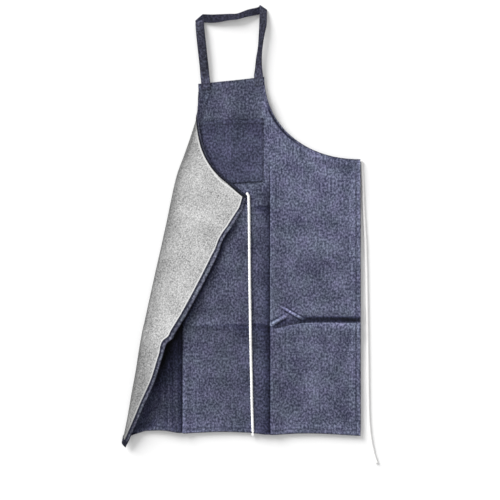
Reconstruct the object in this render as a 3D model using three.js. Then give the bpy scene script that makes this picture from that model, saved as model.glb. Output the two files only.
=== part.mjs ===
// Denim shop apron, laid out on a flat surface with its front up and its left side folded over.
// Millimetres, +Z up. The origin is the middle of the waist line, on the surface that it lies on:
// +X runs across the apron, +Y runs up to the neck.
import * as THREE from 'three';

// The flat cut, u across from the middle line and v up from the waist line
const SKIRT_HALF_WIDTH = 334;
const SKIRT_LENGTH = 708;
const BIB_HEIGHT = 204;
const BIB_TOP_HALF_WIDTH = 86;
const ARMHOLE_POWER = 2.1;

// Cloth and turned hems
const CLOTH = 1.2;
const SEAM_GAP = 0.3;
const LAY_GAP = 0.2;
const SIDE_HEM = 13;
const BOTTOM_HEM = 12;
const ARMHOLE_HEM = 9.5;
const BIB_HEM = 20;
const HEM_LIFT = CLOTH + SEAM_GAP + LAY_GAP;
const HEM_EASE = 14;

// Bib pocket, sewn on a little askew
const POCKET_HALF_WIDTH = 82.8;
const POCKET_TOP = 103.7;
const POCKET_FOOT = -61.4;
const POCKET_FOOT_TILT = 0.06;

// How the bib lies: its right side is pushed up, and its left edge is gathered in
const BIB_TILT = 0.1;
const BIB_TILT_POWER = 1.5;
const LEFT_EDGE_GATHER = [
  { v: 40, inward: 0 },
  { v: 75, inward: 1.5 },
  { v: 100, inward: 5 },
  { v: 125, inward: 9 },
  { v: 145, inward: 8 },
  { v: 172, inward: 4 },
  { v: 204, inward: 1 },
];
const GATHER_FROM = -30;
const GATHER_TO = -90;

// The fold, on a straight line from the left armhole to the bottom hem. Along that line: how far the
// folded edge stands out from it, the radius of the turn, the slope of the flap beyond the turn, and
// the cloth that the ripples beside the fold take up.
const FOLD_TOP = new THREE.Vector2(-87.7, 122.5);
const FOLD_FOOT = new THREE.Vector2(-281.2, -734);
const FOLD_ROWS = [
  { along: -90, out: 24, radius: 2.8, slope: 0, slack: 0 },
  { along: -50, out: 12.5, radius: 2.8, slope: 0, slack: 0 },
  { along: -27, out: 4.6, radius: 2.8, slope: 0, slack: 0 },
  { along: 0, out: -0.5, radius: 2.8, slope: 0, slack: 0 },
  { along: 60, out: 3.5, radius: 4, slope: 0, slack: 0 },
  { along: 115, out: 9.5, radius: 6, slope: -0.035, slack: 0 },
  { along: 175, out: 16.5, radius: 7.5, slope: -0.05, slack: 0 },
  { along: 300, out: 15.5, radius: 8.5, slope: -0.045, slack: 0 },
  { along: 450, out: 15, radius: 12, slope: -0.05, slack: 0 },
  { along: 560, out: 14.4, radius: 15, slope: -0.04, slack: 4 },
  { along: 620, out: 13.4, radius: 18, slope: 0, slack: 8 },
  { along: 700, out: 9.2, radius: 18, slope: 0, slack: 9 },
  { along: 800, out: 4, radius: 18, slope: 0, slack: 12 },
  { along: 878, out: 2.4, radius: 17, slope: 0, slack: 14 },
];
const SLACK_REACH = 60;
const CORNER_DROOP = 12;
const DROOP_FROM = -275;

// The bottom edge waves a little between the creases
const BOTTOM_WAVE = [
  { u: -280, up: 2 },
  { u: -209, up: 7 },
  { u: -125, up: 1.5 },
  { u: -28, up: 5 },
  { u: 52, up: 3 },
  { u: 101, up: -1.5 },
  { u: 180, up: 0 },
  { u: 334, up: 0 },
];
const BOTTOM_WAVE_FROM = -520;

// Creases from storage: two long valleys down the skirt, and a cross crease that stands up between
// them and sinks outside them
const LEFT_CREASE = -125;
const RIGHT_CREASE = 101;
const LONG_CREASES = [
  { u: LEFT_CREASE, top: -110, height: 7, leftReach: 95, rightReach: 26, leftBite: 16, rightBite: 4 },
  { u: RIGHT_CREASE, top: 150, height: 5, leftReach: 58, rightReach: 44, leftBite: 9, rightBite: 4 },
];
const CREASE_FADE = 110;
const CREASE_SHOULDER = 30;
const CREASE_DROP = 16;
const UPPER_CROSS_CREASE = -120.5;
const LOWER_CROSS_CREASE = -432;
const MIDDLE_CREASE_LINE = [
  { u: -125, v: -430 },
  { u: -28, v: -432 },
  { u: 41, v: -447 },
  { u: 101, v: -455 },
];
const RIGHT_CREASE_LINE = [
  { u: 101, v: -433 },
  { u: 147, v: -422 },
  { u: 191, v: -412 },
  { u: 334, v: -412 },
];
const UPPER_RIDGE_HEIGHT = 3;
const UPPER_RIDGE_EASE = 40;
const LOWER_RIDGE_HEIGHT = 6;
const RIDGE_REACH = 60;
const CROSS_VALLEY_HEIGHT = 4.5;
const CROSS_VALLEY_BITE = 7;
const CROSS_VALLEY_REACH = 55;
const FLAP_RIDGE_HEIGHT = 4;
const FLAP_RIDGE_EASE = 40;

// Neck strap: a row for each place across it, with its two edges and their heights
const STRAP_THICKNESS = 1.6;
const STRAP_TURN = 1.2;
const ON_BIB = HEM_LIFT + CLOTH + SEAM_GAP + STRAP_THICKNESS / 2 + LAY_GAP;
const ON_SURFACE = STRAP_THICKNESS / 2 + LAY_GAP / 2;
const STRAP_LEFT_LEG = [
  { ax: -76.6, ay: 179.5, az: ON_BIB, bx: -53.4, by: 181.8, bz: ON_BIB },
  { ax: -77.4, ay: 200, az: ON_BIB, bx: -54.2, by: 202.5, bz: ON_BIB },
  { ax: -78.7, ay: 213, az: 3, bx: -55.5, by: 215.4, bz: 3 },
  { ax: -81, ay: 241, az: ON_SURFACE, bx: -58, by: 241, bz: ON_SURFACE },
  { ax: -85.6, ay: 300, az: ON_SURFACE, bx: -64.5, by: 300, bz: ON_SURFACE },
  { ax: -89.5, ay: 339, az: ON_SURFACE, bx: -68.9, by: 339, bz: ON_SURFACE },
];
const STRAP_LEFT_FOLD = { ax: -90.8, ay: 356, bx: -71.2, by: 374, outX: -0.68, outY: 0.73 };
const STRAP_CROSS = [
  { ax: -46.4, ay: 354, az: 2.6, bx: -46.4, by: 373.6, bz: 3 },
  { ax: -2.6, ay: 360, az: ON_SURFACE, bx: -2.6, by: 375.6, bz: 8 },
  { ax: 15.5, ay: 361, az: ON_SURFACE, bx: 15.5, by: 376.2, bz: 9 },
  { ax: 43.9, ay: 367, az: ON_SURFACE, bx: 43.9, by: 383, bz: 6 },
  { ax: 71, ay: 373, az: ON_SURFACE, bx: 69.7, by: 391, bz: 1.4 },
];
const STRAP_RIGHT_FOLD = { ax: 92.9, ay: 384.4, bx: 73.8, by: 397.6, outX: 0.57, outY: 0.82 };
const STRAP_RIGHT_LEG = [
  { ax: 92.6, ay: 367.7, az: 3.4, bx: 73.5, by: 370, bz: 3.4 },
  { ax: 92.1, ay: 347, az: 3.4, bx: 72.8, by: 347, bz: 1.6 },
  { ax: 86.7, ay: 321, az: 9, bx: 71.5, by: 321, bz: ON_SURFACE },
  { ax: 81.5, ay: 288, az: 15, bx: 69.2, by: 288, bz: ON_SURFACE },
  { ax: 79.5, ay: 262, az: 13, bx: 64.5, by: 260, bz: ON_SURFACE },
  { ax: 80.2, ay: 236, az: 8, bx: 61.9, by: 236, bz: 1.6 },
  { ax: 82.3, ay: 218, az: ON_BIB, bx: 59.4, by: 216, bz: ON_BIB },
  { ax: 82.8, ay: 206, az: ON_BIB, bx: 60, by: 204, bz: ON_BIB },
  { ax: 83.9, ay: 192, az: ON_BIB, bx: 60.9, by: 190, bz: ON_BIB },
];

// Tie cords, each sewn in at a waist corner
const TIE_DIAMETER = 7;
const TIE_SIDES = 8;
const TIE_STEP = 20;
const LEFT_TIE_ROUTE = [
  [45.4, -84, 6],
  [45.5, -92, 6.5],
  [45.8, -104, 7.4],
  [46.2, -121, 9],
  [46.6, -140, 7.4],
  [46.9, -165, 5.9],
  [47.1, -190, 5.6],
  [47.4, -225, 5.6],
  [47.7, -260, 5.6],
  [48.1, -300, 5.6],
  [48.5, -337, 5.6],
  [49.2, -375, 5.8],
  [49.7, -405, 7],
  [50, -430, 10.6],
  [50.3, -449, 12.4],
  [50.7, -468, 10.6],
  [51.2, -493, 7],
  [51.8, -525, 5.8],
  [52.9, -569, 5.6],
  [53.6, -610, 5.7],
  [54.4, -646, 5.7],
  [55.2, -668, 6.5],
  [55.9, -687, 7.8],
  [56.4, -700, 8],
  [56.8, -714, 7.8],
];
const RIGHT_TIE_ROUTE = [
  [337.6, -2, 3.6],
  [338, -16, 3.6],
  [339.6, -45, 3.6],
  [341.4, -80, 3.6],
  [343, -120, 3.6],
  [345.4, -165, 3.6],
  [348, -210, 3.6],
  [349.6, -260, 3.6],
  [350.8, -315, 3.6],
  [351.8, -375, 3.6],
  [352.6, -435, 3.6],
  [353.4, -495, 3.6],
  [354.2, -555, 3.6],
  [355, -615, 3.6],
  [356.4, -668, 3.6],
  [360, -710, 3.6],
  [367, -750, 3.6],
  [377, -786, 3.6],
];

const DENIM_FACE = new THREE.MeshStandardMaterial({ color: 0x454a63, roughness: 0.92, metalness: 0 });
const DENIM_HEM = new THREE.MeshStandardMaterial({ color: 0x4a5068, roughness: 0.92, metalness: 0 });
const DENIM_POCKET = new THREE.MeshStandardMaterial({ color: 0x353a55, roughness: 0.92, metalness: 0 });
const STRAP_TAPE = new THREE.MeshStandardMaterial({ color: 0x3d4450, roughness: 0.88, metalness: 0 });
const WHITE_COTTON = new THREE.MeshStandardMaterial({ color: 0xf1f0ee, roughness: 0.9, metalness: 0 });

// 0 before start, 1 after end, easing between
function ease(start, end, value) {
  const share = THREE.MathUtils.clamp((value - start) / (end - start), 0, 1);
  return share * share * (3 - 2 * share);
}

// A column of a table at a place between its rows, along a smooth curve through them
function tableValue(rows, place, column, at) {
  const last = rows.length - 1;
  const clamped = THREE.MathUtils.clamp(at, rows[0][place], rows[last][place]);
  let low = 0;
  while (low < last - 1 && rows[low + 1][place] < clamped) {
    low += 1;
  }
  const slopeAt = (index) => {
    const before = rows[Math.max(index - 1, 0)];
    const after = rows[Math.min(index + 1, last)];
    return (after[column] - before[column]) / (after[place] - before[place]);
  };
  const span = rows[low + 1][place] - rows[low][place];
  const s = (clamped - rows[low][place]) / span;
  const start = (1 + 2 * s) * (1 - s) ** 2 * rows[low][column] + s * (1 - s) ** 2 * span * slopeAt(low);
  const end = s * s * (3 - 2 * s) * rows[low + 1][column] + s * s * (s - 1) * span * slopeAt(low + 1);
  return start + end;
}

// Armhole: a quarter of a superellipse about the corner beside the bib
const ARMHOLE_ACROSS = SKIRT_HALF_WIDTH - BIB_TOP_HALF_WIDTH;

function armholePoint(angle) {
  const across = Math.cos(angle) ** (2 / ARMHOLE_POWER);
  const down = Math.sin(angle) ** (2 / ARMHOLE_POWER);
  return [SKIRT_HALF_WIDTH - ARMHOLE_ACROSS * across, BIB_HEIGHT * (1 - down)];
}

function armholeSlope(u, v) {
  const across = Math.max(SKIRT_HALF_WIDTH - u, 0) / ARMHOLE_ACROSS;
  const down = Math.max(BIB_HEIGHT - v, 0) / BIB_HEIGHT;
  const rise = across ** ARMHOLE_POWER + down ** ARMHOLE_POWER - 1;
  const du = (ARMHOLE_POWER / ARMHOLE_ACROSS) * across ** (ARMHOLE_POWER - 1);
  const dv = (ARMHOLE_POWER / BIB_HEIGHT) * down ** (ARMHOLE_POWER - 1);
  return { rise, du, dv, steepness: Math.hypot(du, dv) };
}

// How far the turned hems below push the cloth up
function hemLift(u, v) {
  const armhole = armholeSlope(Math.abs(u), v);
  const edges = [
    { distance: v + SKIRT_LENGTH, hem: BOTTOM_HEM },
    { distance: SKIRT_HALF_WIDTH - Math.abs(u), hem: SIDE_HEM },
    { distance: armhole.rise / armhole.steepness, hem: ARMHOLE_HEM },
    { distance: BIB_HEIGHT - v, hem: BIB_HEM },
  ];
  const lifts = edges.map(({ distance, hem }) => 1 - ease(hem + 1, hem + HEM_EASE, distance));
  return HEM_LIFT * Math.max(...lifts);
}

// A valley with a hump on each side, flat beyond its reach
function valley(distance, bite, reach) {
  const window = Math.max(1 - (distance / reach) ** 2, 0) ** 2;
  return (1 - Math.exp(-Math.abs(distance) / bite)) * window;
}

function ridge(distance) {
  return Math.max(1 - Math.abs(distance) / RIDGE_REACH, 0) ** 2;
}

// Height of the creases on the part that lies flat
function creaseHeight(u, v) {
  let height = 0;
  for (const crease of LONG_CREASES) {
    const distance = u - crease.u;
    const side = distance < 0 ? 'left' : 'right';
    const strength = crease.height * (1 - ease(crease.top - CREASE_FADE, crease.top, v));
    height += strength * valley(distance, crease[`${side}Bite`], crease[`${side}Reach`]);
  }
  const fromLeft = ease(LEFT_CREASE, LEFT_CREASE + CREASE_SHOULDER, u);
  const between = fromLeft * (1 - ease(RIGHT_CREASE - CREASE_DROP, RIGHT_CREASE, u));
  const middleLine = tableValue(MIDDLE_CREASE_LINE, 'u', 'v', u);
  height += LOWER_RIDGE_HEIGHT * between * ridge(v - middleLine);
  const upper = ease(0, UPPER_RIDGE_EASE, u) * ridge(v - UPPER_CROSS_CREASE);
  height += UPPER_RIDGE_HEIGHT * between * upper;
  const beyond = ease(RIGHT_CREASE, RIGHT_CREASE + CREASE_SHOULDER, u);
  const rightLine = tableValue(RIGHT_CREASE_LINE, 'u', 'v', u);
  height += CROSS_VALLEY_HEIGHT * beyond * valley(v - rightLine, CROSS_VALLEY_BITE, CROSS_VALLEY_REACH);
  return height;
}

// Where a point of the cut lies before the side is folded over
function spread(u, v) {
  const tilt = BIB_TILT * (Math.max(v, 0) / BIB_HEIGHT) ** BIB_TILT_POWER;
  const gather = v > LEFT_EDGE_GATHER[0].v ? tableValue(LEFT_EDGE_GATHER, 'v', 'inward', v) : 0;
  const droop = CORNER_DROOP * ease(DROOP_FROM, -SKIRT_HALF_WIDTH, u) * (Math.min(v, 0) / SKIRT_LENGTH) ** 2;
  const wave = tableValue(BOTTOM_WAVE, 'u', 'up', u) * ease(BOTTOM_WAVE_FROM, -SKIRT_LENGTH, v);
  return new THREE.Vector2(u + gather * ease(GATHER_FROM, GATHER_TO, u), v + tilt * u - droop + wave);
}

const FOLD_ALONG = FOLD_FOOT.clone().sub(FOLD_TOP).normalize();
const FOLD_OUT = new THREE.Vector2(FOLD_ALONG.y, -FOLD_ALONG.x);

// A point's place along the fold, and how far it is past the start of the turn
function foldPlace(u, v) {
  const from = spread(u, v).sub(FOLD_TOP);
  const along = from.dot(FOLD_ALONG);
  const row = (column) => tableValue(FOLD_ROWS, 'along', column, along);
  const radius = row('radius');
  const turnStart = row('out') - radius;
  const across = from.dot(FOLD_OUT);
  const taken = row('slack') * ease(-SLACK_REACH, 0, across);
  return { along, radius, turnStart, slope: row('slope'), past: across - taken - turnStart };
}

// The reverse of the cloth at a point of the cut
function reversePoint(u, v) {
  const { along, radius, turnStart, slope, past } = foldPlace(u, v);
  const flat = 1 - ease(-CREASE_SHOULDER, 0, past);
  const angle = THREE.MathUtils.clamp(past / radius, 0, Math.PI);
  const flap = Math.max(past - Math.PI * radius, 0);
  const across = turnStart + Math.min(past, 0) + radius * Math.sin(angle) - flap;
  let z = radius * (1 - Math.cos(angle)) + slope * flap;
  z += flat * creaseHeight(u, v) + (1 - angle / Math.PI) * hemLift(u, v);
  const flapRidges = ridge(v - LOWER_CROSS_CREASE) + ridge(v - UPPER_CROSS_CREASE);
  z += FLAP_RIDGE_HEIGHT * ease(0, FLAP_RIDGE_EASE, flap) * flapRidges;
  const place = FOLD_TOP.clone().addScaledVector(FOLD_ALONG, along).addScaledVector(FOLD_OUT, across);
  return new THREE.Vector3(place.x, place.y, z);
}

// A point at a distance from the reverse of the cloth, towards its face
const PROBE = 0.5;

function clothPoint([u, v], offset) {
  const across = reversePoint(u + PROBE, v).sub(reversePoint(u - PROBE, v));
  const up = reversePoint(u, v + PROBE).sub(reversePoint(u, v - PROBE));
  return reversePoint(u, v).addScaledVector(across.cross(up).normalize(), offset);
}

// Rows of the cloth, from the neck to the bottom hem. Beside the armholes a row starts square to the
// edge, at an angle round the armhole, and runs level at its middle height across the pocket.
const ARMHOLE_ROWS = [
  { angle: 0, middle: BIB_HEIGHT, tilt: 0 },
  { angle: 5, middle: BIB_HEIGHT - BIB_HEM, tilt: 0 },
  { angle: 12, middle: 156, tilt: 0 },
  { angle: 20, middle: 130, tilt: 0 },
  { angle: 28.2, middle: POCKET_TOP, tilt: 0 },
  { angle: 36, middle: 78, tilt: 0 },
  { angle: 44, middle: 52, tilt: 0 },
  { angle: 52, middle: 26, tilt: 0 },
  { angle: 60, middle: 0, tilt: 0 },
  { angle: 67.5, middle: -22, tilt: 0.01 },
  { angle: 75, middle: -42, tilt: 0.03 },
  { angle: 82, middle: POCKET_FOOT, tilt: POCKET_FOOT_TILT },
  { angle: 90, middle: -84, tilt: 0.03 },
];
const SIDE_ROWS = [
  { edge: -36, middle: -104 },
  { edge: -75, middle: UPPER_CROSS_CREASE },
  { edge: -118, middle: -140 },
  { edge: -160, middle: -170 },
];
const STRAIGHT_ROWS = [-206, -240, -275, -310, -345, -376, -398, -414, -424, -432, -440, -450, -464, -484,
  -512, -545, -580, -615, -648, -676, BOTTOM_HEM - SKIRT_LENGTH, -SKIRT_LENGTH];
const CREASE_FOLLOW = 100;
const LEVEL_MARGIN = 4;
const LEVEL_SHARE = 0.8;

// Both edge points of a row and the hem's inner points beside them, with the row's height between
function rowEnds() {
  const rows = ARMHOLE_ROWS.map(({ angle, middle, tilt }) => {
    const [u, v] = armholePoint(THREE.MathUtils.degToRad(angle));
    const slope = armholeSlope(u, v);
    const corner = angle === 90 ? SIDE_HEM : 0;
    const inner = [
      u - corner - (ARMHOLE_HEM * slope.du) / slope.steepness,
      v - (ARMHOLE_HEM * slope.dv) / slope.steepness,
    ];
    return { edge: [u, v], inner, middle, tilt };
  });
  for (const { edge, middle } of SIDE_ROWS) {
    const inner = [SKIRT_HALF_WIDTH - SIDE_HEM, edge];
    rows.push({ edge: [SKIRT_HALF_WIDTH, edge], inner, middle, tilt: 0 });
  }
  for (const v of STRAIGHT_ROWS) {
    rows.push({ edge: [SKIRT_HALF_WIDTH, v], inner: [SKIRT_HALF_WIDTH - SIDE_HEM, v], middle: v, tilt: 0 });
  }
  return rows;
}

// Height of a row at a place across it: level over the pocket, then bending to the hem's inner point.
// Rows near the lower cross crease follow its line.
function rowHeight(row, u) {
  const level = Math.min(POCKET_HALF_WIDTH + LEVEL_MARGIN, LEVEL_SHARE * row.inner[0]);
  const bend = Math.max((Math.abs(u) - level) / (row.inner[0] - level), 0) ** 2;
  const height = (row.middle + row.tilt * u) * (1 - bend) + row.inner[1] * bend;
  const line = u > RIGHT_CREASE ? RIGHT_CREASE_LINE : MIDDLE_CREASE_LINE;
  const follow = 1 - ease(0, CREASE_FOLLOW, Math.abs(height - LOWER_CROSS_CREASE));
  return height + follow * (tableValue(line, 'u', 'v', u) - LOWER_CROSS_CREASE);
}

// The place on a row where the cloth is a given way past the start of the turn, found by halving
const HALVINGS = 40;

function foldCrossing(row, pastAt) {
  let outside = -row.inner[0];
  let inside = 0;
  for (let step = 0; step < HALVINGS; step += 1) {
    const u = (outside + inside) / 2;
    const place = foldPlace(u, rowHeight(row, u));
    if (place.past > pastAt(place)) {
      outside = u;
    } else {
      inside = u;
    }
  }
  return inside;
}

// Columns of the cloth between its hems: where each stretch ends, and the cells in it
const HEM_CELLS = 2;
const COLUMN_CELLS = [6, 7, 3, 3, 2, 2, 6, 2, 2, 2, 6];
const POCKET_STRETCH = 6;
const NARROWEST_CELL = 0.9;
const LEFT_CREASE_FLANK = 40;
const RIGHT_CREASE_FLANK = 44;
const CREASE_LIP = 12;

function columnPlaces(row) {
  const ends = [
    -row.inner[0],
    foldCrossing(row, ({ radius }) => Math.PI * radius),
    foldCrossing(row, () => 0),
    LEFT_CREASE - LEFT_CREASE_FLANK,
    LEFT_CREASE,
    LEFT_CREASE + CREASE_LIP,
    -POCKET_HALF_WIDTH,
    POCKET_HALF_WIDTH,
    RIGHT_CREASE,
    RIGHT_CREASE + CREASE_LIP,
    RIGHT_CREASE + RIGHT_CREASE_FLANK,
    row.inner[0],
  ];
  for (let k = 1; k < ends.length - 1; k += 1) {
    ends[k] = Math.max(ends[k], ends[k - 1] + COLUMN_CELLS[k - 1] * NARROWEST_CELL);
  }
  for (let k = ends.length - 2; k > 0; k -= 1) {
    ends[k] = Math.min(ends[k], ends[k + 1] - COLUMN_CELLS[k] * NARROWEST_CELL);
  }
  const places = [ends[0]];
  COLUMN_CELLS.forEach((cells, k) => {
    for (let cell = 1; cell <= cells; cell += 1) {
      places.push(THREE.MathUtils.lerp(ends[k], ends[k + 1], cell / cells));
    }
  });
  return places;
}

// The whole cloth as rows of points of the cut, from the left edge to the right edge
function clothGrid() {
  return rowEnds().map((row) => {
    const hem = [];
    for (let cell = 0; cell < HEM_CELLS; cell += 1) {
      const share = cell / HEM_CELLS;
      hem.push([
        THREE.MathUtils.lerp(row.edge[0], row.inner[0], share),
        THREE.MathUtils.lerp(row.edge[1], row.inner[1], share),
      ]);
    }
    const left = hem.map(([u, v]) => [-u, v]);
    const middle = columnPlaces(row).map((u) => [u, rowHeight(row, u)]);
    return [...left, ...middle, ...hem.reverse()];
  });
}

const GRID = clothGrid();
const LAST_ROW = GRID.length - 1;
const LAST_COLUMN = GRID[0].length - 1;
const BIB_HEM_ROW = 1;
const POCKET_TOP_ROW = ARMHOLE_ROWS.findIndex((row) => row.middle === POCKET_TOP);
const POCKET_FOOT_ROW = ARMHOLE_ROWS.findIndex((row) => row.middle === POCKET_FOOT);
const CORNER_ROW = ARMHOLE_ROWS.length - 1;
const BOTTOM_HEM_ROW = LAST_ROW - 1;
const CELLS_BEFORE_POCKET = COLUMN_CELLS.slice(0, POCKET_STRETCH).reduce((sum, cells) => sum + cells, 0);
const POCKET_LEFT_COLUMN = HEM_CELLS + CELLS_BEFORE_POCKET;
const POCKET_RIGHT_COLUMN = POCKET_LEFT_COLUMN + COLUMN_CELLS[POCKET_STRETCH];

// Rows and columns of the cloth, drawn in at both ends where they meet another hem
function clothBlock(rows, columns, drawIn = 0) {
  const block = GRID.slice(rows[0], rows[1] + 1).map((row) => row.slice(columns[0], columns[1] + 1));
  const towards = ([u, v], [nextU, nextV]) => {
    const share = drawIn / Math.hypot(nextU - u, nextV - v);
    return [THREE.MathUtils.lerp(u, nextU, share), THREE.MathUtils.lerp(v, nextV, share)];
  };
  if (drawIn > 0) {
    const last = block.length - 1;
    block[0] = block[0].map((point, k) => towards(point, block[1][k]));
    block[last] = block[last].map((point, k) => towards(point, block[last - 1][k]));
  }
  return block;
}

// A closed solid between two sheets of points that have the same rows and columns
function closedSheet(face, reverse) {
  const rows = face.length;
  const columns = face[0].length;
  const points = [...face.flat(), ...reverse.flat()];
  const at = (sheet, row, column) => sheet * rows * columns + row * columns + column;
  const triangles = [];
  const quad = (a, b, c, d) => triangles.push(a, b, c, a, c, d);
  for (let r = 0; r < rows - 1; r += 1) {
    for (let c = 0; c < columns - 1; c += 1) {
      quad(at(0, r, c), at(0, r + 1, c), at(0, r + 1, c + 1), at(0, r, c + 1));
      quad(at(1, r, c), at(1, r, c + 1), at(1, r + 1, c + 1), at(1, r + 1, c));
    }
    quad(at(0, r, 0), at(1, r, 0), at(1, r + 1, 0), at(0, r + 1, 0));
    quad(at(0, r + 1, columns - 1), at(1, r + 1, columns - 1), at(1, r, columns - 1), at(0, r, columns - 1));
  }
  for (let c = 0; c < columns - 1; c += 1) {
    quad(at(0, 0, c + 1), at(1, 0, c + 1), at(1, 0, c), at(0, 0, c));
    quad(at(0, rows - 1, c), at(1, rows - 1, c), at(1, rows - 1, c + 1), at(0, rows - 1, c + 1));
  }
  const geometry = new THREE.BufferGeometry();
  geometry.setAttribute('position', new THREE.Float32BufferAttribute(points.flatMap((p) => p.toArray()), 3));
  geometry.setIndex(triangles);
  geometry.computeVertexNormals();
  return geometry;
}

function clothSolid(block, reverseOffset, faceOffset) {
  const sheet = (offset) => block.map((row) => row.map((point) => clothPoint(point, offset)));
  return closedSheet(sheet(faceOffset), sheet(reverseOffset));
}

// A hem is a strip of the same cloth, turned over to the reverse
function hemSolid(rows, columns, drawIn) {
  return clothSolid(clothBlock(rows, columns, drawIn), -SEAM_GAP - CLOTH, -SEAM_GAP);
}

// The three rows of a diagonal fold in the strap: below, at the turn and above
function strapFold({ ax, ay, bx, by, outX, outY }) {
  return [0, 1, 2].map((level) => {
    const out = level === 1 ? STRAP_TURN : 0;
    const z = ON_SURFACE + level * STRAP_TURN;
    const [x, y] = [out * outX, out * outY];
    return { ax: ax + x, ay: ay + y, az: z, bx: bx + x, by: by + y, bz: z };
  });
}

function strapSolid() {
  const rows = [
    ...STRAP_LEFT_LEG,
    ...strapFold(STRAP_LEFT_FOLD),
    ...STRAP_CROSS,
    ...strapFold(STRAP_RIGHT_FOLD),
    ...STRAP_RIGHT_LEG,
  ].map((row) => [new THREE.Vector3(row.ax, row.ay, row.az), new THREE.Vector3(row.bx, row.by, row.bz)]);
  const middles = rows.map(([a, b]) => a.clone().lerp(b, 0.5));
  const normals = rows.map(([a, b], k) => {
    const before = middles[Math.max(k - 1, 0)];
    const after = middles[Math.min(k + 1, rows.length - 1)];
    return b.clone().sub(a).cross(after.clone().sub(before)).normalize();
  });
  const sheet = (offset) =>
    rows.map((row, k) => row.map((point) => point.clone().addScaledVector(normals[k], offset)));
  return closedSheet(sheet(-STRAP_THICKNESS / 2), sheet(STRAP_THICKNESS / 2));
}

function tieSolid(route) {
  const section = new THREE.Shape();
  for (let side = 0; side < TIE_SIDES; side += 1) {
    const turn = (2 * Math.PI * side) / TIE_SIDES;
    const [x, y] = [(TIE_DIAMETER / 2) * Math.cos(turn), (TIE_DIAMETER / 2) * Math.sin(turn)];
    if (side === 0) {
      section.moveTo(x, y);
    } else {
      section.lineTo(x, y);
    }
  }
  const path = new THREE.CatmullRomCurve3(route.map((point) => new THREE.Vector3(...point)));
  const steps = Math.round(path.getLength() / TIE_STEP);
  return new THREE.ExtrudeGeometry(section, { steps, extrudePath: path, bevelEnabled: false });
}

const ALL_COLUMNS = [0, LAST_COLUMN];
const LEFT_HEM_COLUMNS = [0, HEM_CELLS];
const RIGHT_HEM_COLUMNS = [LAST_COLUMN - HEM_CELLS, LAST_COLUMN];
const POCKET_ROWS = [POCKET_TOP_ROW, POCKET_FOOT_ROW];
const POCKET_COLUMNS = [POCKET_LEFT_COLUMN, POCKET_RIGHT_COLUMN];
const POCKET_OFFSET = CLOTH + SEAM_GAP;

const apron = new THREE.Group();

function addPiece(name, geometry, material) {
  const piece = new THREE.Mesh(geometry, material);
  piece.name = name;
  apron.add(piece);
}

addPiece('body_panel', clothSolid(clothBlock([0, LAST_ROW], ALL_COLUMNS), 0, CLOTH), DENIM_FACE);
addPiece('bib_hem', hemSolid([0, BIB_HEM_ROW], ALL_COLUMNS, 0), DENIM_HEM);
addPiece('left_armhole_hem', hemSolid([BIB_HEM_ROW, CORNER_ROW], LEFT_HEM_COLUMNS, SEAM_GAP), DENIM_HEM);
addPiece('right_armhole_hem', hemSolid([BIB_HEM_ROW, CORNER_ROW], RIGHT_HEM_COLUMNS, SEAM_GAP), DENIM_HEM);
addPiece('left_side_hem', hemSolid([CORNER_ROW, BOTTOM_HEM_ROW], LEFT_HEM_COLUMNS, SEAM_GAP), DENIM_HEM);
addPiece('right_side_hem', hemSolid([CORNER_ROW, BOTTOM_HEM_ROW], RIGHT_HEM_COLUMNS, SEAM_GAP), DENIM_HEM);
addPiece('bottom_hem', hemSolid([BOTTOM_HEM_ROW, LAST_ROW], ALL_COLUMNS, 0), DENIM_HEM);
const pocket = clothSolid(clothBlock(POCKET_ROWS, POCKET_COLUMNS), POCKET_OFFSET, POCKET_OFFSET + CLOTH);
addPiece('bib_pocket', pocket, DENIM_POCKET);
addPiece('neck_strap', strapSolid(), STRAP_TAPE);
addPiece('left_tie', tieSolid(LEFT_TIE_ROUTE), WHITE_COTTON);
addPiece('right_tie', tieSolid(RIGHT_TIE_ROUTE), WHITE_COTTON);

export default apron;
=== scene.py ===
import math

import bpy
import numpy as np
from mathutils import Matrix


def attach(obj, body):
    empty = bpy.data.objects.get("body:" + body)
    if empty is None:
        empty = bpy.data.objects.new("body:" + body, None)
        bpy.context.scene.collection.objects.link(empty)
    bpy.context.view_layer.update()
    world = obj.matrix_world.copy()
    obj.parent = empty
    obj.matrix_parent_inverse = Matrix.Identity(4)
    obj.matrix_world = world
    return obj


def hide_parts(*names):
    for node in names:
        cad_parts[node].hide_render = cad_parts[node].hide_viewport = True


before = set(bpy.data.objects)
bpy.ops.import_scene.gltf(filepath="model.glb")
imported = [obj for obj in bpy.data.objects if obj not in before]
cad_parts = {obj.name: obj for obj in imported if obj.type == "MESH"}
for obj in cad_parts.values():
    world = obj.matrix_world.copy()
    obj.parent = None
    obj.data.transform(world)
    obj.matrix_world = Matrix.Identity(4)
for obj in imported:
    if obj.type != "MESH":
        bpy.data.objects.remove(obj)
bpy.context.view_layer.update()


# The surface it lies on: a plain white table top, lit by one broad soft lamp from the upper left and by
# pale light from all round. The camera looks straight down on it.
TABLE_HALF_SIDE = 30.0
TABLE_DROP = 0.0005
TABLE_WHITES = ((0.94, 0.94, 0.94), (0.97, 0.97, 0.97))
TABLE_PATCHES = 9.0
TABLE_ROUGHNESS = 0.6
SPECULAR = 0.25
NOISE_DETAIL = 2.0
CAMERA_HEIGHT = 2.6
VIEW_SIDE = 1.2945
VIEW_CENTRE = (0.049, -0.2335)
SENSOR = 36.0
LAMP_FROM = math.radians(133)
LAMP_ELEVATION = math.radians(22)
LAMP_SPREAD = math.radians(38)
LAMP_STRENGTH = 4.6
ROOM_LIGHT = 0.6


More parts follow.
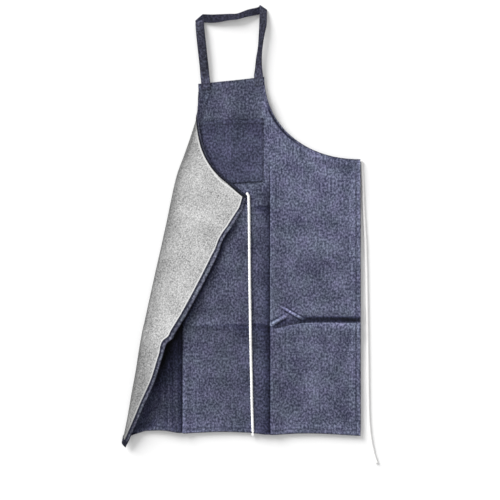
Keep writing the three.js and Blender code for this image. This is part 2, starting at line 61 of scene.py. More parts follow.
class Look:
    """A socket of a node tree, which Python's operators work on."""

    def __init__(self, tree, socket=None):
        self.tree = tree
        self.socket = socket

    def put(self, socket, value):
        if isinstance(value, Look):
            self.tree.links.new(value.socket, socket)
        else:
            socket.default_value = value

    def node(self, kind, settings=None, inputs=None, output=0):
        made = self.tree.nodes.new(kind)
        for name, value in (settings or {}).items():
            setattr(made, name, value)
        for name, value in (inputs or {}).items():
            self.put(made.inputs[name], value)
        return Look(self.tree, made.outputs[output])

    def math(self, operation, *values):
        return self.node("ShaderNodeMath", {"operation": operation}, dict(enumerate(values)))

    def __add__(self, other):
        return self.math("ADD", self, other)

    __radd__ = __add__

    def __sub__(self, other):
        return self.math("SUBTRACT", self, other)

    def __rsub__(self, other):
        return self.math("SUBTRACT", other, self)

    def __mul__(self, other):
        return self.math("MULTIPLY", self, other)

    __rmul__ = __mul__

    def rise(self, start, end):
        limits = {"Value": self, "From Min": start, "From Max": end}
        return self.node("ShaderNodeMapRange", {"interpolation_type": "SMOOTHSTEP"}, limits)

    def stretched(self, x, y):
        return self.node("ShaderNodeVectorMath", {"operation": "MULTIPLY"}, {0: self, 1: (x, y, 1)})

    def noise(self, scale):
        """Noise about zero."""
        sizes = {"Vector": self, "Scale": scale, "Detail": NOISE_DETAIL}
        return self.node("ShaderNodeTexNoise", {"noise_dimensions": "2D"}, sizes) - 0.5

    def near(self, place, width):
        """A share that is 1 within a quarter of a width of a place, and falls to nothing at the width."""
        return 1 - self.math("ABSOLUTE", self - place).rise(width / 4, width)

    def either(self, other):
        return self.math("MAXIMUM", self, other)

    def mix(self, low, high):
        ends = {6: (*low, 1.0), 7: (*high, 1.0)}
        return self.node("ShaderNodeMix", {"data_type": "RGBA"}, {0: self, **ends}, output=2)

    def times(self, other):
        settings = {"data_type": "RGBA", "blend_type": "MULTIPLY"}
        return self.node("ShaderNodeMix", settings, {0: 1.0, 6: self, 7: other}, output=2)


def new_look(name, roughness):
    material = bpy.data.materials.new(name)
    material.use_nodes = True
    shader = material.node_tree.nodes["Principled BSDF"]
    shader.inputs["Roughness"].default_value = roughness
    shader.inputs["Specular IOR Level"].default_value = SPECULAR
    return material, shader.inputs, Look(material.node_tree)


def add_mesh(name, points, faces, looks):
    mesh = bpy.data.meshes.new(name)
    mesh.from_pydata(points, [], faces)
    for look in looks:
        mesh.materials.append(look)
    made = bpy.data.objects.new(name, mesh)
    bpy.context.collection.objects.link(made)
    return made


table_look, table_inputs, start = new_look("white_table", TABLE_ROUGHNESS)
patches = start.node("ShaderNodeTexCoord", output="Object").noise(TABLE_PATCHES) + 0.5
start.put(table_inputs["Base Color"], patches.mix(*TABLE_WHITES))
signs = ((-1, -1), (1, -1), (1, 1), (-1, 1))
corners = [(x * TABLE_HALF_SIDE, y * TABLE_HALF_SIDE, -TABLE_DROP) for x, y in signs]
add_mesh("table", corners, [(0, 1, 2, 3)], [table_look])

lamp = bpy.data.objects.new("lamp", bpy.data.lights.new("lamp", "SUN"))
lamp.data.energy = LAMP_STRENGTH
lamp.data.angle = LAMP_SPREAD
lamp.rotation_euler = (0, math.pi / 2 - LAMP_ELEVATION, LAMP_FROM)
bpy.context.collection.objects.link(lamp)

room = bpy.data.worlds.new("room")
room.use_nodes = True
room.node_tree.nodes["Background"].inputs["Color"].default_value = (1.0, 1.0, 1.0, 1.0)
room.node_tree.nodes["Background"].inputs["Strength"].default_value = ROOM_LIGHT
bpy.context.scene.world = room
bpy.context.scene.view_settings.view_transform = "Standard"

camera = bpy.data.objects.new("camera", bpy.data.cameras.new("camera"))
camera.location = (*VIEW_CENTRE, CAMERA_HEIGHT)
camera.data.sensor_width = SENSOR
camera.data.lens = SENSOR * CAMERA_HEIGHT / VIEW_SIDE
bpy.context.collection.objects.link(camera)
bpy.context.scene.camera = camera


# Tie cords: two white braided cotton cords, each sewn into a waist corner. The left one lies over the
# folded side and down the skirt, the right one beside the skirt on the table, and both end cut off.
TIE_DIAMETER = 0.007
TIE_STEP = 0.0011
TIE_SIDES = 24
BRAID_STRANDS = 4
BRAID_PITCH = 0.0075
BRAID_DEPTH = 0.1
BRAID_MEAN = 1.0
END_SWELL = 0.2
END_SWELL_LENGTH = 0.03
END_ROUND, END_LEAST = 0.0025, 0.05
UNEVEN_LENGTHS = (0.0093, 0.0147, 0.031)
UNEVEN_SHARE = 0.035
START_SWELL, START_SWELL_LENGTH = 0.08, 0.007
LEFT_FLATNESS, RIGHT_FLATNESS = 1.0, 0.65
LEFT_START_BEND, RIGHT_START_BEND = (-0.006, -0.002, 0), (0, 0, 0)
START_BEND_LENGTH = 0.014
TIE_SHARP = 80
COTTON_ROUGHNESS = 0.9
COTTON_SHADES = ((0.8, 0.79, 0.78), (0.97, 0.965, 0.955))
COTTON_MEAN = 0.62
FIBRE_SCALE, FIBRE_SHARE = (900, 220), 0.8
SOIL_SCALE, SOIL_SHARE = (60, 14), 0.5
FLUFF_STRENGTH, FLUFF_DEPTH = 0.35, 0.0003
LEFT_TIE_ROUTE = [
    (0.0454, -0.084, 0.006), (0.0455, -0.092, 0.0065), (0.0458, -0.104, 0.0074), (0.0462, -0.121, 0.009),
    (0.0466, -0.14, 0.0074), (0.0469, -0.165, 0.0059), (0.0471, -0.19, 0.0056), (0.0474, -0.225, 0.0056),
    (0.0477, -0.26, 0.0056), (0.0481, -0.3, 0.0056), (0.0485, -0.337, 0.0056), (0.0492, -0.375, 0.0058),
    (0.0497, -0.405, 0.007), (0.05, -0.43, 0.0106), (0.0503, -0.449, 0.0124), (0.0507, -0.468, 0.0106),
    (0.0512, -0.493, 0.007), (0.0518, -0.525, 0.0058), (0.0529, -0.569, 0.0056), (0.0536, -0.61, 0.0057),
    (0.0544, -0.646, 0.0057), (0.0552, -0.668, 0.0065), (0.0559, -0.687, 0.0078), (0.0564, -0.7, 0.008),
    (0.0568, -0.714, 0.0078),
]
RIGHT_TIE_HEIGHT = 0.0036
RIGHT_TIE_ROUTE = [
    (0.3376, -0.002), (0.338, -0.016), (0.3396, -0.045), (0.3414, -0.08), (0.343, -0.12),
    (0.3454, -0.165), (0.348, -0.21), (0.3496, -0.26), (0.3508, -0.315), (0.3518, -0.375),
    (0.3526, -0.435), (0.3534, -0.495), (0.3542, -0.555), (0.355, -0.615), (0.3564, -0.668),
    (0.36, -0.71), (0.367, -0.75), (0.377, -0.786),
]


def smooth_table(places, values, at):
    """Values at places between a table's rows, along a smooth curve through them."""
    places = np.asarray(places, float)
    values = np.asarray(values, float)
    last = len(places) - 1
    rows = np.arange(last + 1)
    before = np.maximum(rows - 1, 0)
    after = np.minimum(rows + 1, last)
    slopes = (values[after] - values[before]) / (places[after] - places[before])
    at = np.clip(at, places[0], places[-1])
    low = np.clip(np.searchsorted(places, at, side="left") - 1, 0, last - 1)
    span = places[low + 1] - places[low]
    s = (at - places[low]) / span
    start = (1 + 2 * s) * (1 - s) ** 2 * values[low] + s * (1 - s) ** 2 * span * slopes[low]
    end = s * s * (3 - 2 * s) * values[low + 1] + s * s * (s - 1) * span * slopes[low + 1]
    return start + end


def smooth_path(points, step):
    """Points along a smooth curve through others, and how far along it each one is."""
    points = np.asarray(points, float)
    places = np.concatenate([[0], np.cumsum(np.linalg.norm(np.diff(points, axis=0), axis=1))])
    along = np.linspace(0, places[-1], max(round(places[-1] / step), 2))
    return np.stack([smooth_table(places, column, along) for column in points.T], axis=-1), along


def add_uv(made, coordinates):
    """A UV map in metres, from a pair of coordinates for each point of the mesh."""
    layer = made.data.uv_layers.new(name="cut")
    points = np.empty(len(made.data.loops), int)
    made.data.loops.foreach_get("vertex_index", points)
    layer.data.foreach_set("uv", np.asarray(coordinates, float).reshape(-1, 2)[points].ravel())


def shade_smooth(made, sharp_degrees):
    made.data.shade_smooth()
    made.data.set_sharp_from_angle(angle=math.radians(sharp_degrees))


def swept(name, rings, cut, look):
    """A closed skin over rings of points, capped at both ends, with its UV map."""
    count, sides = rings.shape[:2]
    ring = np.arange(sides)
    ahead = np.roll(ring, -1)
    first = sides * np.arange(count - 1)[:, None]
    quads = np.stack([first + ring, first + ahead, first + sides + ahead, first + sides + ring], axis=-1)
    quads = quads.reshape(-1, 4)
    points = rings.reshape(-1, 3)
    a, b, c, d = ((points - points.mean(axis=0))[quads[:, k]] for k in range(4))
    faces = [*quads.tolist(), ring[::-1].tolist(), (ring + sides * (count - 1)).tolist()]
    if (a * (np.cross(b, c) + np.cross(c, d))).sum() < 0:
        faces = [face[::-1] for face in faces]
    made = add_mesh(name, points.tolist(), faces, [look])
    add_uv(made, cut)
    return made


def frames_along(path):
    """Directions to the side of a path and upwards from it."""
    tangent = np.gradient(path, axis=0)
    tangent /= np.linalg.norm(tangent, axis=1, keepdims=True)
    side = np.cross(tangent, (0, 0, 1))
    side /= np.linalg.norm(side, axis=1, keepdims=True)
    return side, np.cross(side, tangent)


cotton_look, cotton_inputs, start = new_look("white_cotton", COTTON_ROUGHNESS)
cut = start.node("ShaderNodeUVMap", {"uv_map": "cut"})
fibre = cut.stretched(*FIBRE_SCALE).noise(1.0)
soil = cut.stretched(*SOIL_SCALE).noise(1.0)
cotton_tone = COTTON_MEAN + FIBRE_SHARE * fibre + SOIL_SHARE * soil
start.put(cotton_inputs["Base Color"], cotton_tone.mix(*COTTON_SHADES))
fluff = {"Strength": FLUFF_STRENGTH, "Distance": FLUFF_DEPTH, "Height": fibre}
start.put(cotton_inputs["Normal"], start.node("ShaderNodeBump", None, fluff))


def add_tie(name, node, route, flatness, start_bend):
    """A braided cord along a route, uneven in thickness and swollen and rounded at its ends."""
    path, along = smooth_path(route, TIE_STEP)
    path += np.clip(1 - along / START_BEND_LENGTH, 0, 1)[:, None] ** 2 * np.array(start_bend)
    side, up = frames_along(path)
    turn = np.linspace(0, 2 * math.pi, TIE_SIDES, endpoint=False) - math.pi / 2
    spin = 2 * math.pi * along[:, None] / BRAID_PITCH
    braid = np.maximum(np.cos(BRAID_STRANDS * turn + spin), np.cos(BRAID_STRANDS * turn - spin))
    from_end = along[-1] - along
    swell = END_SWELL * np.clip(1 - from_end / END_SWELL_LENGTH, 0, 1) ** 2
    rounded = np.sqrt(np.clip(np.minimum(along, from_end) / END_ROUND, END_LEAST, 1))
    uneven = 1 + UNEVEN_SHARE * sum(np.sin(2 * math.pi * along / length) for length in UNEVEN_LENGTHS)
    uneven = uneven + START_SWELL * np.exp(-(along / START_SWELL_LENGTH) ** 2)
    thickness = (1 + swell) * rounded * uneven
    radius = TIE_DIAMETER / 2 * thickness[:, None] * (1 + BRAID_DEPTH * (braid - BRAID_MEAN))
    around = np.cos(turn)[:, None] * side[:, None] + np.sin(turn)[:, None] * up[:, None]
    rings = path[:, None] + radius[..., None] * around
    rings[..., 2] -= (1 - flatness) * (rings[..., 2] - (path[:, 2:] - TIE_DIAMETER / 2))
    rings[..., 2] += (swell * TIE_DIAMETER / 2)[:, None]
    cut = np.stack(np.broadcast_arrays(turn * TIE_DIAMETER / 2, along[:, None]), axis=-1)
    tie = swept(name, rings, cut, cotton_look)
    shade_smooth(tie, TIE_SHARP)
    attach(tie, "root")
    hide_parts(node)


add_tie("left_cord", "left_tie", LEFT_TIE_ROUTE, LEFT_FLATNESS, LEFT_START_BEND)
right_route = [(x, y, RIGHT_TIE_HEIGHT) for x, y in RIGHT_TIE_ROUTE]
add_tie("right_cord", "right_tie", right_route, RIGHT_FLATNESS, RIGHT_START_BEND)


# Body panel: bib and skirt are one cut of indigo twill denim with a pale reverse. It lies face up with
# its left side folded over the front, and keeps the sharp creases of the packet that it came in.
SKIRT_HALF_WIDTH = 0.334
SKIRT_LENGTH = 0.708
BIB_HEIGHT = 0.204
BIB_TOP_HALF_WIDTH = 0.086
ARMHOLE_ACROSS = SKIRT_HALF_WIDTH - BIB_TOP_HALF_WIDTH
ARMHOLE_POWER = 2.1
LEAST_STEEPNESS = 1e-9
CLOTH = 0.0012
SEAM_GAP = 0.0003
LAY_GAP = 0.0002
SIDE_HEM = 0.013
BOTTOM_HEM = 0.012
ARMHOLE_HEM = 0.0095
HEM_NARROWING = 0.32
HEM_NARROWS = (0.0005, 0.006)
FLAP_NARROWING = 0.22
FLAP_NARROWS_BELOW, FLAP_NARROWS_ABOVE = (-0.47, -0.43), (-0.19, -0.14)
BIB_HEM = 0.02
HEM_LIFT = CLOTH + SEAM_GAP + LAY_GAP
HEM_FLAT, HEM_EASE = 0.001, 0.014
EDGE_CURL = 0.0058
CURL_REACH = 0.03
CURL_STOP = (0.145, 0.18)
BIB_TILT = 0.1
BIB_TILT_POWER = 1.5
GATHER_V = (0.04, 0.075, 0.1, 0.125, 0.145, 0.172, 0.204)
GATHER_INWARD = (0, 0.0015, 0.005, 0.009, 0.008, 0.004, 0.001)
GATHER_FROM, GATHER_TO = -0.03, -0.09
CORNER_LIFT = 0.006
LIFT_ACROSS, LIFT_UP = (0.02, 0.09), (0.06, 0.16)
FOLD_TOP = np.array([-0.0877, 0.1225])
FOLD_FOOT = np.array([-0.2812, -0.734])
FOLD_PLACES = (-0.09, -0.05, -0.027, 0, 0.06, 0.115, 0.175, 0.3, 0.45, 0.56, 0.62, 0.7, 0.8, 0.878)
FOLD_OUT_BY = (
    0.024, 0.0125, 0.0046, -0.0015, 0.002, 0.008, 0.0152,
    0.014, 0.0134, 0.0124, 0.0112, 0.0072, 0.0012, -0.0005,
)
FOLD_RADIUS = (
    0.0028, 0.0028, 0.0028, 0.0028, 0.004, 0.006, 0.0075,
    0.0085, 0.012, 0.015, 0.018, 0.018, 0.0125, 0.0065,
)
FLAP_SLOPE = (0, 0, 0, 0, 0, -0.035, -0.05, -0.045, -0.05, -0.04, 0, 0, 0, 0)
FOLD_SLACK = (
    0, 0, 0, 0.002, 0.003, 0.003, 0.0026,
    0.003, 0.0032, 0.008, 0.014, 0.0154, 0.0263, 0.0342,
)
SLACK_REACH = 0.08
KINK_V = (
    -0.708, -0.6, -0.53, -0.457, -0.443, -0.427, -0.414, -0.4, -0.372, -0.343,
    -0.172, -0.144, -0.13, -0.115, -0.101, -0.087, -0.058, -0.044, -0.03, 0,
)
KINK_OUT = (
    -0.001, 0, 0.004, 0, -0.0035, -0.0055, 0, -0.002, -0.001, 0,
    0, -0.0045, -0.0042, -0.0022, 0.0012, 0.0032, 0.0078, 0.0099, 0.009, 0.003,
)
KINK_REACH = 0.11
WAIST_DROP, WAIST_ACROSS, WAIST_REACH = 0.007, (-0.284, -0.334), 0.12
CORNER_DROOP = 0.012
DROOP_FROM = -0.275
WAVE_U = (-0.334, -0.29, -0.25, -0.209, -0.17, -0.125, -0.028, 0.052, 0.101, 0.18, 0.24, 0.334)
WAVE_UP = (-0.0075, 0.004, 0.0122, 0.0098, 0.0095, 0.003, 0.006, 0.0035, -0.001, 0.0018, 0.001, -0.0045)
WAVE_FROM = -0.52
LEFT_CREASE, RIGHT_CREASE = -0.125, 0.101
LONG_CREASES = (
    {"u": LEFT_CREASE, "top": -0.11, "height": 0.007, "reach": (0.095, 0.026), "bite": (0.012, 0.0022)},
    {"u": RIGHT_CREASE, "top": 0.03, "height": 0.005, "reach": (0.058, 0.044), "bite": (0.009, 0.002)},
)
CREASE_FADE = 0.11
CREASE_SHOULDER = 0.03
CREASE_DROP = 0.016
UPPER_CROSS, LOWER_CROSS = -0.1205, -0.432
MIDDLE_LINE = ((-0.125, -0.028, 0.041, 0.101), (-0.43, -0.432, -0.447, -0.455))
RIGHT_LINE = ((0.101, 0.147, 0.191, 0.334), (-0.439, -0.429, -0.4217, -0.4215))
LOWER_RIDGE, UPPER_RIDGE, FLAP_RIDGE = 0.006, 0.003, 0.004
RIDGE_EASE = 0.04
RIDGE_REACH = 0.06
CROSS_VALLEY, CROSS_BITE, CROSS_REACH = 0.0045, 0.007, 0.055
SMALL_WRINKLES = (
    {"start": (0.1265, -0.3785), "end": (0.196, -0.4175), "height": 0.0028, "width": 0.0028, "shade": 0.8},
    {"start": (0.1, -0.427), "end": (0.147, -0.4005), "height": 0.003, "width": 0.0038, "shade": 0.85},
    {"start": (0.245, -0.246), "end": (0.284, -0.275), "height": 0.001, "width": 0.006, "shade": 0.1},
    {"start": (-0.06, 0.178), "end": (-0.075, 0.15), "height": 0.0012, "width": 0.004, "shade": 0.35},
    {"start": (0.088, 0.14), "end": (0.102, 0.118), "height": 0.0016, "width": 0.004, "shade": 0.2},
    {"start": (0.256, -0.544), "end": (0.302, -0.568), "height": -0.0012, "width": 0.006, "shade": 0.1},
)
SLOW_WAVES = (
    {"length": 0.19, "towards": 20, "phase": 0.3, "height": 0.0009},
    {"length": 0.13, "towards": 75, "phase": 1.1, "height": 0.0006},
    {"length": 0.083, "towards": 130, "phase": 2.0, "height": 0.0004},
    {"length": 0.061, "towards": 50, "phase": 2.9, "height": 0.0003},
    {"length": 0.043, "towards": 160, "phase": 0.7, "height": 0.0002},
)
WAVES_STOP = (0.12, 0.17)
WRINKLE_TAPER = 0.25
PROBE = 0.0005


def ease(start, end, value):
    """A share that goes smoothly from 0 to 1 between two values."""
    share = np.clip((value - start) / (end - start), 0, 1)
    return share * share * (3 - 2 * share)


def armhole_point(angle):
    """A place on the right armhole's edge, from the top of the bib at 0 to the waist at a quarter turn."""
    across = np.cos(angle) ** (2 / ARMHOLE_POWER)
    down = np.sin(angle) ** (2 / ARMHOLE_POWER)
    return np.stack([SKIRT_HALF_WIDTH - ARMHOLE_ACROSS * across, BIB_HEIGHT * (1 - down)], axis=-1)


def armhole_rise(u, v):
    """How far a place is inside the armhole's edge, and the way to it."""
    across = np.maximum(SKIRT_HALF_WIDTH - u, 0) / ARMHOLE_ACROSS
    down = np.maximum(BIB_HEIGHT - v, 0) / BIB_HEIGHT
    slope = np.stack([
        ARMHOLE_POWER / ARMHOLE_ACROSS * across ** (ARMHOLE_POWER - 1),
        ARMHOLE_POWER / BIB_HEIGHT * down ** (ARMHOLE_POWER - 1),
    ], axis=-1)
    steepness = np.linalg.norm(slope, axis=-1) + LEAST_STEEPNESS
    return (across**ARMHOLE_POWER + down**ARMHOLE_POWER - 1) / steepness, slope / steepness[..., None]


def hem_lift(u, v):
    """The cloth's height over its own hems, and how its edges curl up."""
    edges = (
        (v + SKIRT_LENGTH, BOTTOM_HEM),
        (SKIRT_HALF_WIDTH - np.abs(u), SIDE_HEM),
        (armhole_rise(np.abs(u), v)[0], ARMHOLE_HEM),
        (BIB_HEIGHT - v, BIB_HEM),
    )
    lifts = [1 - ease(hem + HEM_FLAT, hem + HEM_EASE, distance) for distance, hem in edges]
    nearest = np.min([distance for distance, hem in edges], axis=0)
    curl = np.clip(1 - nearest / CURL_REACH, 0, 1) ** 2 * (1 - ease(*CURL_STOP, v))
    return HEM_LIFT * np.max(lifts, axis=0) + EDGE_CURL * curl


def valley(distance, bite, reach):
    """The height beside a sharp valley: none on its line, most a little way off, none at its reach."""
    window = np.maximum(1 - (distance / reach) ** 2, 0) ** 2
    return (1 - np.exp(-np.abs(distance) / bite)) * window


def ridge(distance):
    """The height over a sharp ridge: all on its line, none at its reach."""
    return np.maximum(1 - np.abs(distance) / RIDGE_REACH, 0) ** 2


def crease_height(u, v):
    """The height that the long creases and the cross creases give the cloth."""
    height = np.zeros(np.broadcast(u, v).shape)
    for crease in LONG_CREASES:
        distance = u - crease["u"]
        left = distance < 0
        strength = crease["height"] * (1 - ease(crease["top"] - CREASE_FADE, crease["top"], v))
        height += strength * valley(distance, *(np.where(left, *crease[size]) for size in ("bite", "reach")))
    from_left = ease(LEFT_CREASE, LEFT_CREASE + CREASE_SHOULDER, u)
    between = from_left * (1 - ease(RIGHT_CREASE - CREASE_DROP, RIGHT_CREASE, u))
    height += LOWER_RIDGE * between * ridge(v - smooth_table(*MIDDLE_LINE, u))
    height += UPPER_RIDGE * between * ease(0, RIDGE_EASE, u) * ridge(v - UPPER_CROSS)
    beyond = ease(RIGHT_CREASE, RIGHT_CREASE + CREASE_SHOULDER, u)
    return height + CROSS_VALLEY * beyond * valley(v - smooth_table(*RIGHT_LINE, u), CROSS_BITE, CROSS_REACH)


def wrinkle_place(wrinkle, u, v):
    """How far along a wrinkle a place is, and how far to one side of it."""
    (u0, v0), (u1, v1) = wrinkle["start"], wrinkle["end"]
    length = math.hypot(u1 - u0, v1 - v0)
    du, dv = (u1 - u0) / length, (v1 - v0) / length
    return (u - u0) * du + (v - v0) * dv, (u - u0) * dv - (v - v0) * du, length


def ripple_height(u, v):
    """Short wrinkles, and slow waves all over the cloth, which fade towards the neck."""
    height = np.zeros(np.broadcast(u, v).shape)
    for wrinkle in SMALL_WRINKLES:
        along, aside, length = wrinkle_place(wrinkle, u, v)
        width, taper = wrinkle["width"], length * WRINKLE_TAPER
        ends = ease(-width, taper, along) * (1 - ease(length - taper, length + width, along))
        height += wrinkle["height"] * ends * np.exp(-(aside / width) ** 2)
    for wave in SLOW_WAVES:
        towards = math.radians(wave["towards"])
        place = (u * math.cos(towards) + v * math.sin(towards)) / wave["length"]
        swing = 0.5 + 0.5 * np.sin(2 * math.pi * place + wave["phase"])
        height += wave["height"] * swing * (1 - ease(*WAVES_STOP, v))
    return height


def spread(u, v):
    """Where a place of the cut comes to lie on the table, before the left side is folded over."""
    tilt = BIB_TILT * (np.maximum(v, 0) / BIB_HEIGHT) ** BIB_TILT_POWER
    gather = np.where(v > GATHER_V[0], smooth_table(GATHER_V, GATHER_INWARD, v), 0)
    gather = gather * ease(GATHER_FROM, GATHER_TO, u)
    droop = CORNER_DROOP * ease(DROOP_FROM, -SKIRT_HALF_WIDTH, u) * (np.minimum(v, 0) / SKIRT_LENGTH) ** 2
    wave = smooth_table(WAVE_U, WAVE_UP, u) * ease(WAVE_FROM, -SKIRT_LENGTH, v)
    waist = WAIST_DROP * ease(*WAIST_ACROSS, u) * (1 - ease(0, WAIST_REACH, np.abs(v)))
    return np.stack([u + gather, v + tilt * u - droop - waist + wave], axis=-1)


def corner_lift(x, y):
    """How far the bib's right top corner is held off the table by the stiff end of the strap."""
    return CORNER_LIFT * ease(*LIFT_ACROSS, x) * ease(*LIFT_UP, y)


FOLD_ALONG = (FOLD_FOOT - FOLD_TOP) / np.linalg.norm(FOLD_FOOT - FOLD_TOP)
FOLD_OUT = np.array([FOLD_ALONG[1], -FOLD_ALONG[0]])


def fold_place(u, v):
    """Where a place of the cut is along the fold, and how far past the start of the turn."""
    start = spread(u, v) - FOLD_TOP
    along = start @ FOLD_ALONG
    radius = smooth_table(FOLD_PLACES, FOLD_RADIUS, along)
    turn_start = smooth_table(FOLD_PLACES, FOLD_OUT_BY, along) - radius
    across = start @ FOLD_OUT
    taken = smooth_table(FOLD_PLACES, FOLD_SLACK, along) * ease(-SLACK_REACH, 0, across)
    return along, radius, turn_start, across - taken - turn_start


def reverse_point(u, v):
    """The place of the cloth's reverse, with the left side folded over."""
    along, radius, turn_start, past = fold_place(u, v)
    angle = np.clip(past / radius, 0, math.pi)
    flap = np.maximum(past - math.pi * radius, 0)
    kink = smooth_table(KINK_V, KINK_OUT, v) * (1 - ease(0, KINK_REACH, u + SKIRT_HALF_WIDTH))
    across = turn_start + np.minimum(past, 0) + radius * np.sin(angle) - flap - kink
    z = radius * (1 - np.cos(angle)) + smooth_table(FOLD_PLACES, FLAP_SLOPE, along) * flap
    z += (1 - ease(-CREASE_SHOULDER, 0, past)) * (crease_height(u, v) + ripple_height(u, v))
    z += (1 - angle / math.pi) * hem_lift(u, v)
    z += FLAP_RIDGE * ease(0, RIDGE_EASE, flap) * (ridge(v - LOWER_CROSS) + ridge(v - UPPER_CROSS))
    place = FOLD_TOP + along[..., None] * FOLD_ALONG + across[..., None] * FOLD_OUT
    z += corner_lift(place[..., 0], place[..., 1])
    return np.concatenate([place, z[..., None]], axis=-1)


def cloth_point(u, v, offset):
    """A place of the cut, at a distance from the reverse towards the face."""
    across = reverse_point(u + PROBE, v) - reverse_point(u - PROBE, v)
    up = reverse_point(u, v + PROBE) - reverse_point(u, v - PROBE)
    normal = np.cross(across, up)
    normal /= np.linalg.norm(normal, axis=-1, keepdims=True)
    return reverse_point(u, v) + np.asarray(offset)[..., None] * normal


# Rows of the panel's mesh run from the neck to the bottom: round the armholes, past the waist corners,
# then straight. A row's middle is level, and it bends to start square to the armhole's edge.
STRAIGHT_FROM = -0.206
ARMHOLE_ROWS, CORNER_ROWS, STRAIGHT_ROWS = 66, 40, 131
ROW_SHARES, ROW_HEIGHTS = (0, 0.32, 0.62, 1), (STRAIGHT_FROM, -0.374, -0.452, -SKIRT_LENGTH)
EDGE_INSET = 0.01
LEVEL_HALF_WIDTH = 0.0868
LEVEL_SHARE = 0.8
CORNER_TURNS_FROM = math.radians(60)
CORNER_INWARD = (-1.0, -1.0)
CORNER_LEVELS = 0.3
MIDDLE_FALL, MIDDLE_FALL_EASING = 0.0038, 6.67e-6
CREASE_FOLLOW = 0.1
HALVINGS = 40
EDGE_CELLS = 3
POCKET_HALF_WIDTH = 0.0828
BESIDE_LEFT, BESIDE_CREASE, BESIDE_RIGHT = 0.04, 0.012, 0.1
COLUMN_LINES = (
    LEFT_CREASE - BESIDE_LEFT, LEFT_CREASE, LEFT_CREASE + BESIDE_CREASE,
    -POCKET_HALF_WIDTH, POCKET_HALF_WIDTH,
    RIGHT_CREASE, RIGHT_CREASE + BESIDE_CREASE, RIGHT_CREASE + BESIDE_RIGHT,
)
COLUMN_CELLS = (30, 16, 9, 14, 9, 8, 36, 9, 9, 36, 23)
NARROWEST_CELL = 0.0003
SHEET_SHARP = 50


def panel_rows():
    """Each row's right edge, a place inside it, and the height of its middle."""
    angle = np.linspace(0, math.pi / 2, ARMHOLE_ROWS)
    edge = armhole_point(angle)
    inward = -armhole_rise(edge[:, 0], edge[:, 1])[1]
    turn = ease(CORNER_TURNS_FROM, math.pi / 2, angle)[:, None]
    inward = (1 - turn) * inward + turn * np.array(CORNER_INWARD)
    turned = np.degrees(angle)
    middle = BIB_HEIGHT - MIDDLE_FALL * turned + MIDDLE_FALL_EASING * turned**2
    share = np.linspace(0, 1, CORNER_ROWS + 1)[1:]
    side = np.stack([np.full(CORNER_ROWS, SKIRT_HALF_WIDTH), STRAIGHT_FROM * share], axis=-1)
    side_inward = np.stack([-np.ones(CORNER_ROWS), -1 + ease(0, CORNER_LEVELS, share)], axis=-1)
    side_middle = middle[-1] + (STRAIGHT_FROM - middle[-1]) * share
    down = np.interp(np.linspace(0, 1, STRAIGHT_ROWS + 1)[1:], ROW_SHARES, ROW_HEIGHTS)
    straight = np.stack([np.full(STRAIGHT_ROWS, SKIRT_HALF_WIDTH), down], axis=-1)
    straight_inward = np.tile([-1.0, 0.0], (STRAIGHT_ROWS, 1))
    edge = np.concatenate([edge, side, straight])
    inner = edge + EDGE_INSET * np.concatenate([inward, side_inward, straight_inward])
    return edge, inner, np.concatenate([middle, side_middle, down])


def row_height(inner, middle, u):
    """How high up the cut each row is at a place across it. Rows follow the cross creases near them."""
    level = np.minimum(LEVEL_HALF_WIDTH, LEVEL_SHARE * inner[:, :1])
    bend = np.maximum((np.abs(u) - level) / (inner[:, :1] - level), 0) ** 2
    height = middle[:, None] * (1 - bend) + inner[:, 1:] * bend
    line = np.where(u > RIGHT_CREASE, smooth_table(*RIGHT_LINE, u), smooth_table(*MIDDLE_LINE, u))
    return height + (1 - ease(0, CREASE_FOLLOW, np.abs(height - LOWER_CROSS))) * (line - LOWER_CROSS)


def fold_crossing(inner, middle, turned):
    """The place on each row that is a share of half a turn round the fold, found by halving."""
    outside = -inner[:, :1]
    inside = np.zeros_like(outside)
    for _ in range(HALVINGS):
        u = (outside + inside) / 2
        _, radius, _, past = fold_place(u, row_height(inner, middle, u))
        beyond = past > turned * math.pi * radius
        outside = np.where(beyond, u, outside)
        inside = np.where(beyond, inside, u)
    return inside


def panel_grid():
    """The places of the cut that the panel's points are at."""
    edge, inner, middle = panel_rows()
    folds = [fold_crossing(inner, middle, turned) for turned in (1, 0)]
    lines = [np.full_like(folds[0], line) for line in COLUMN_LINES]
    ends = [-inner[:, :1], *folds, *lines, inner[:, :1]]
    for k in range(1, len(ends) - 1):
        ends[k] = np.maximum(ends[k], ends[k - 1] + COLUMN_CELLS[k - 1] * NARROWEST_CELL)
    for k in range(len(ends) - 2, 0, -1):
        ends[k] = np.minimum(ends[k], ends[k + 1] - COLUMN_CELLS[k] * NARROWEST_CELL)
    stretches = [ends[0]]
    for k, cells in enumerate(COLUMN_CELLS):
        stretches.append(ends[k] + (ends[k + 1] - ends[k]) * np.arange(1, cells + 1) / cells)
    u = np.concatenate(stretches, axis=1)
    v = row_height(inner, middle, u)
    share = np.arange(EDGE_CELLS) / EDGE_CELLS
    edge_u = edge[:, :1] + (inner - edge)[:, :1] * share
    edge_v = edge[:, 1:] + (inner - edge)[:, 1:] * share
    u = np.concatenate([-edge_u, u, edge_u[:, ::-1]], axis=1)
    return u, np.concatenate([edge_v, v, edge_v[:, ::-1]], axis=1)


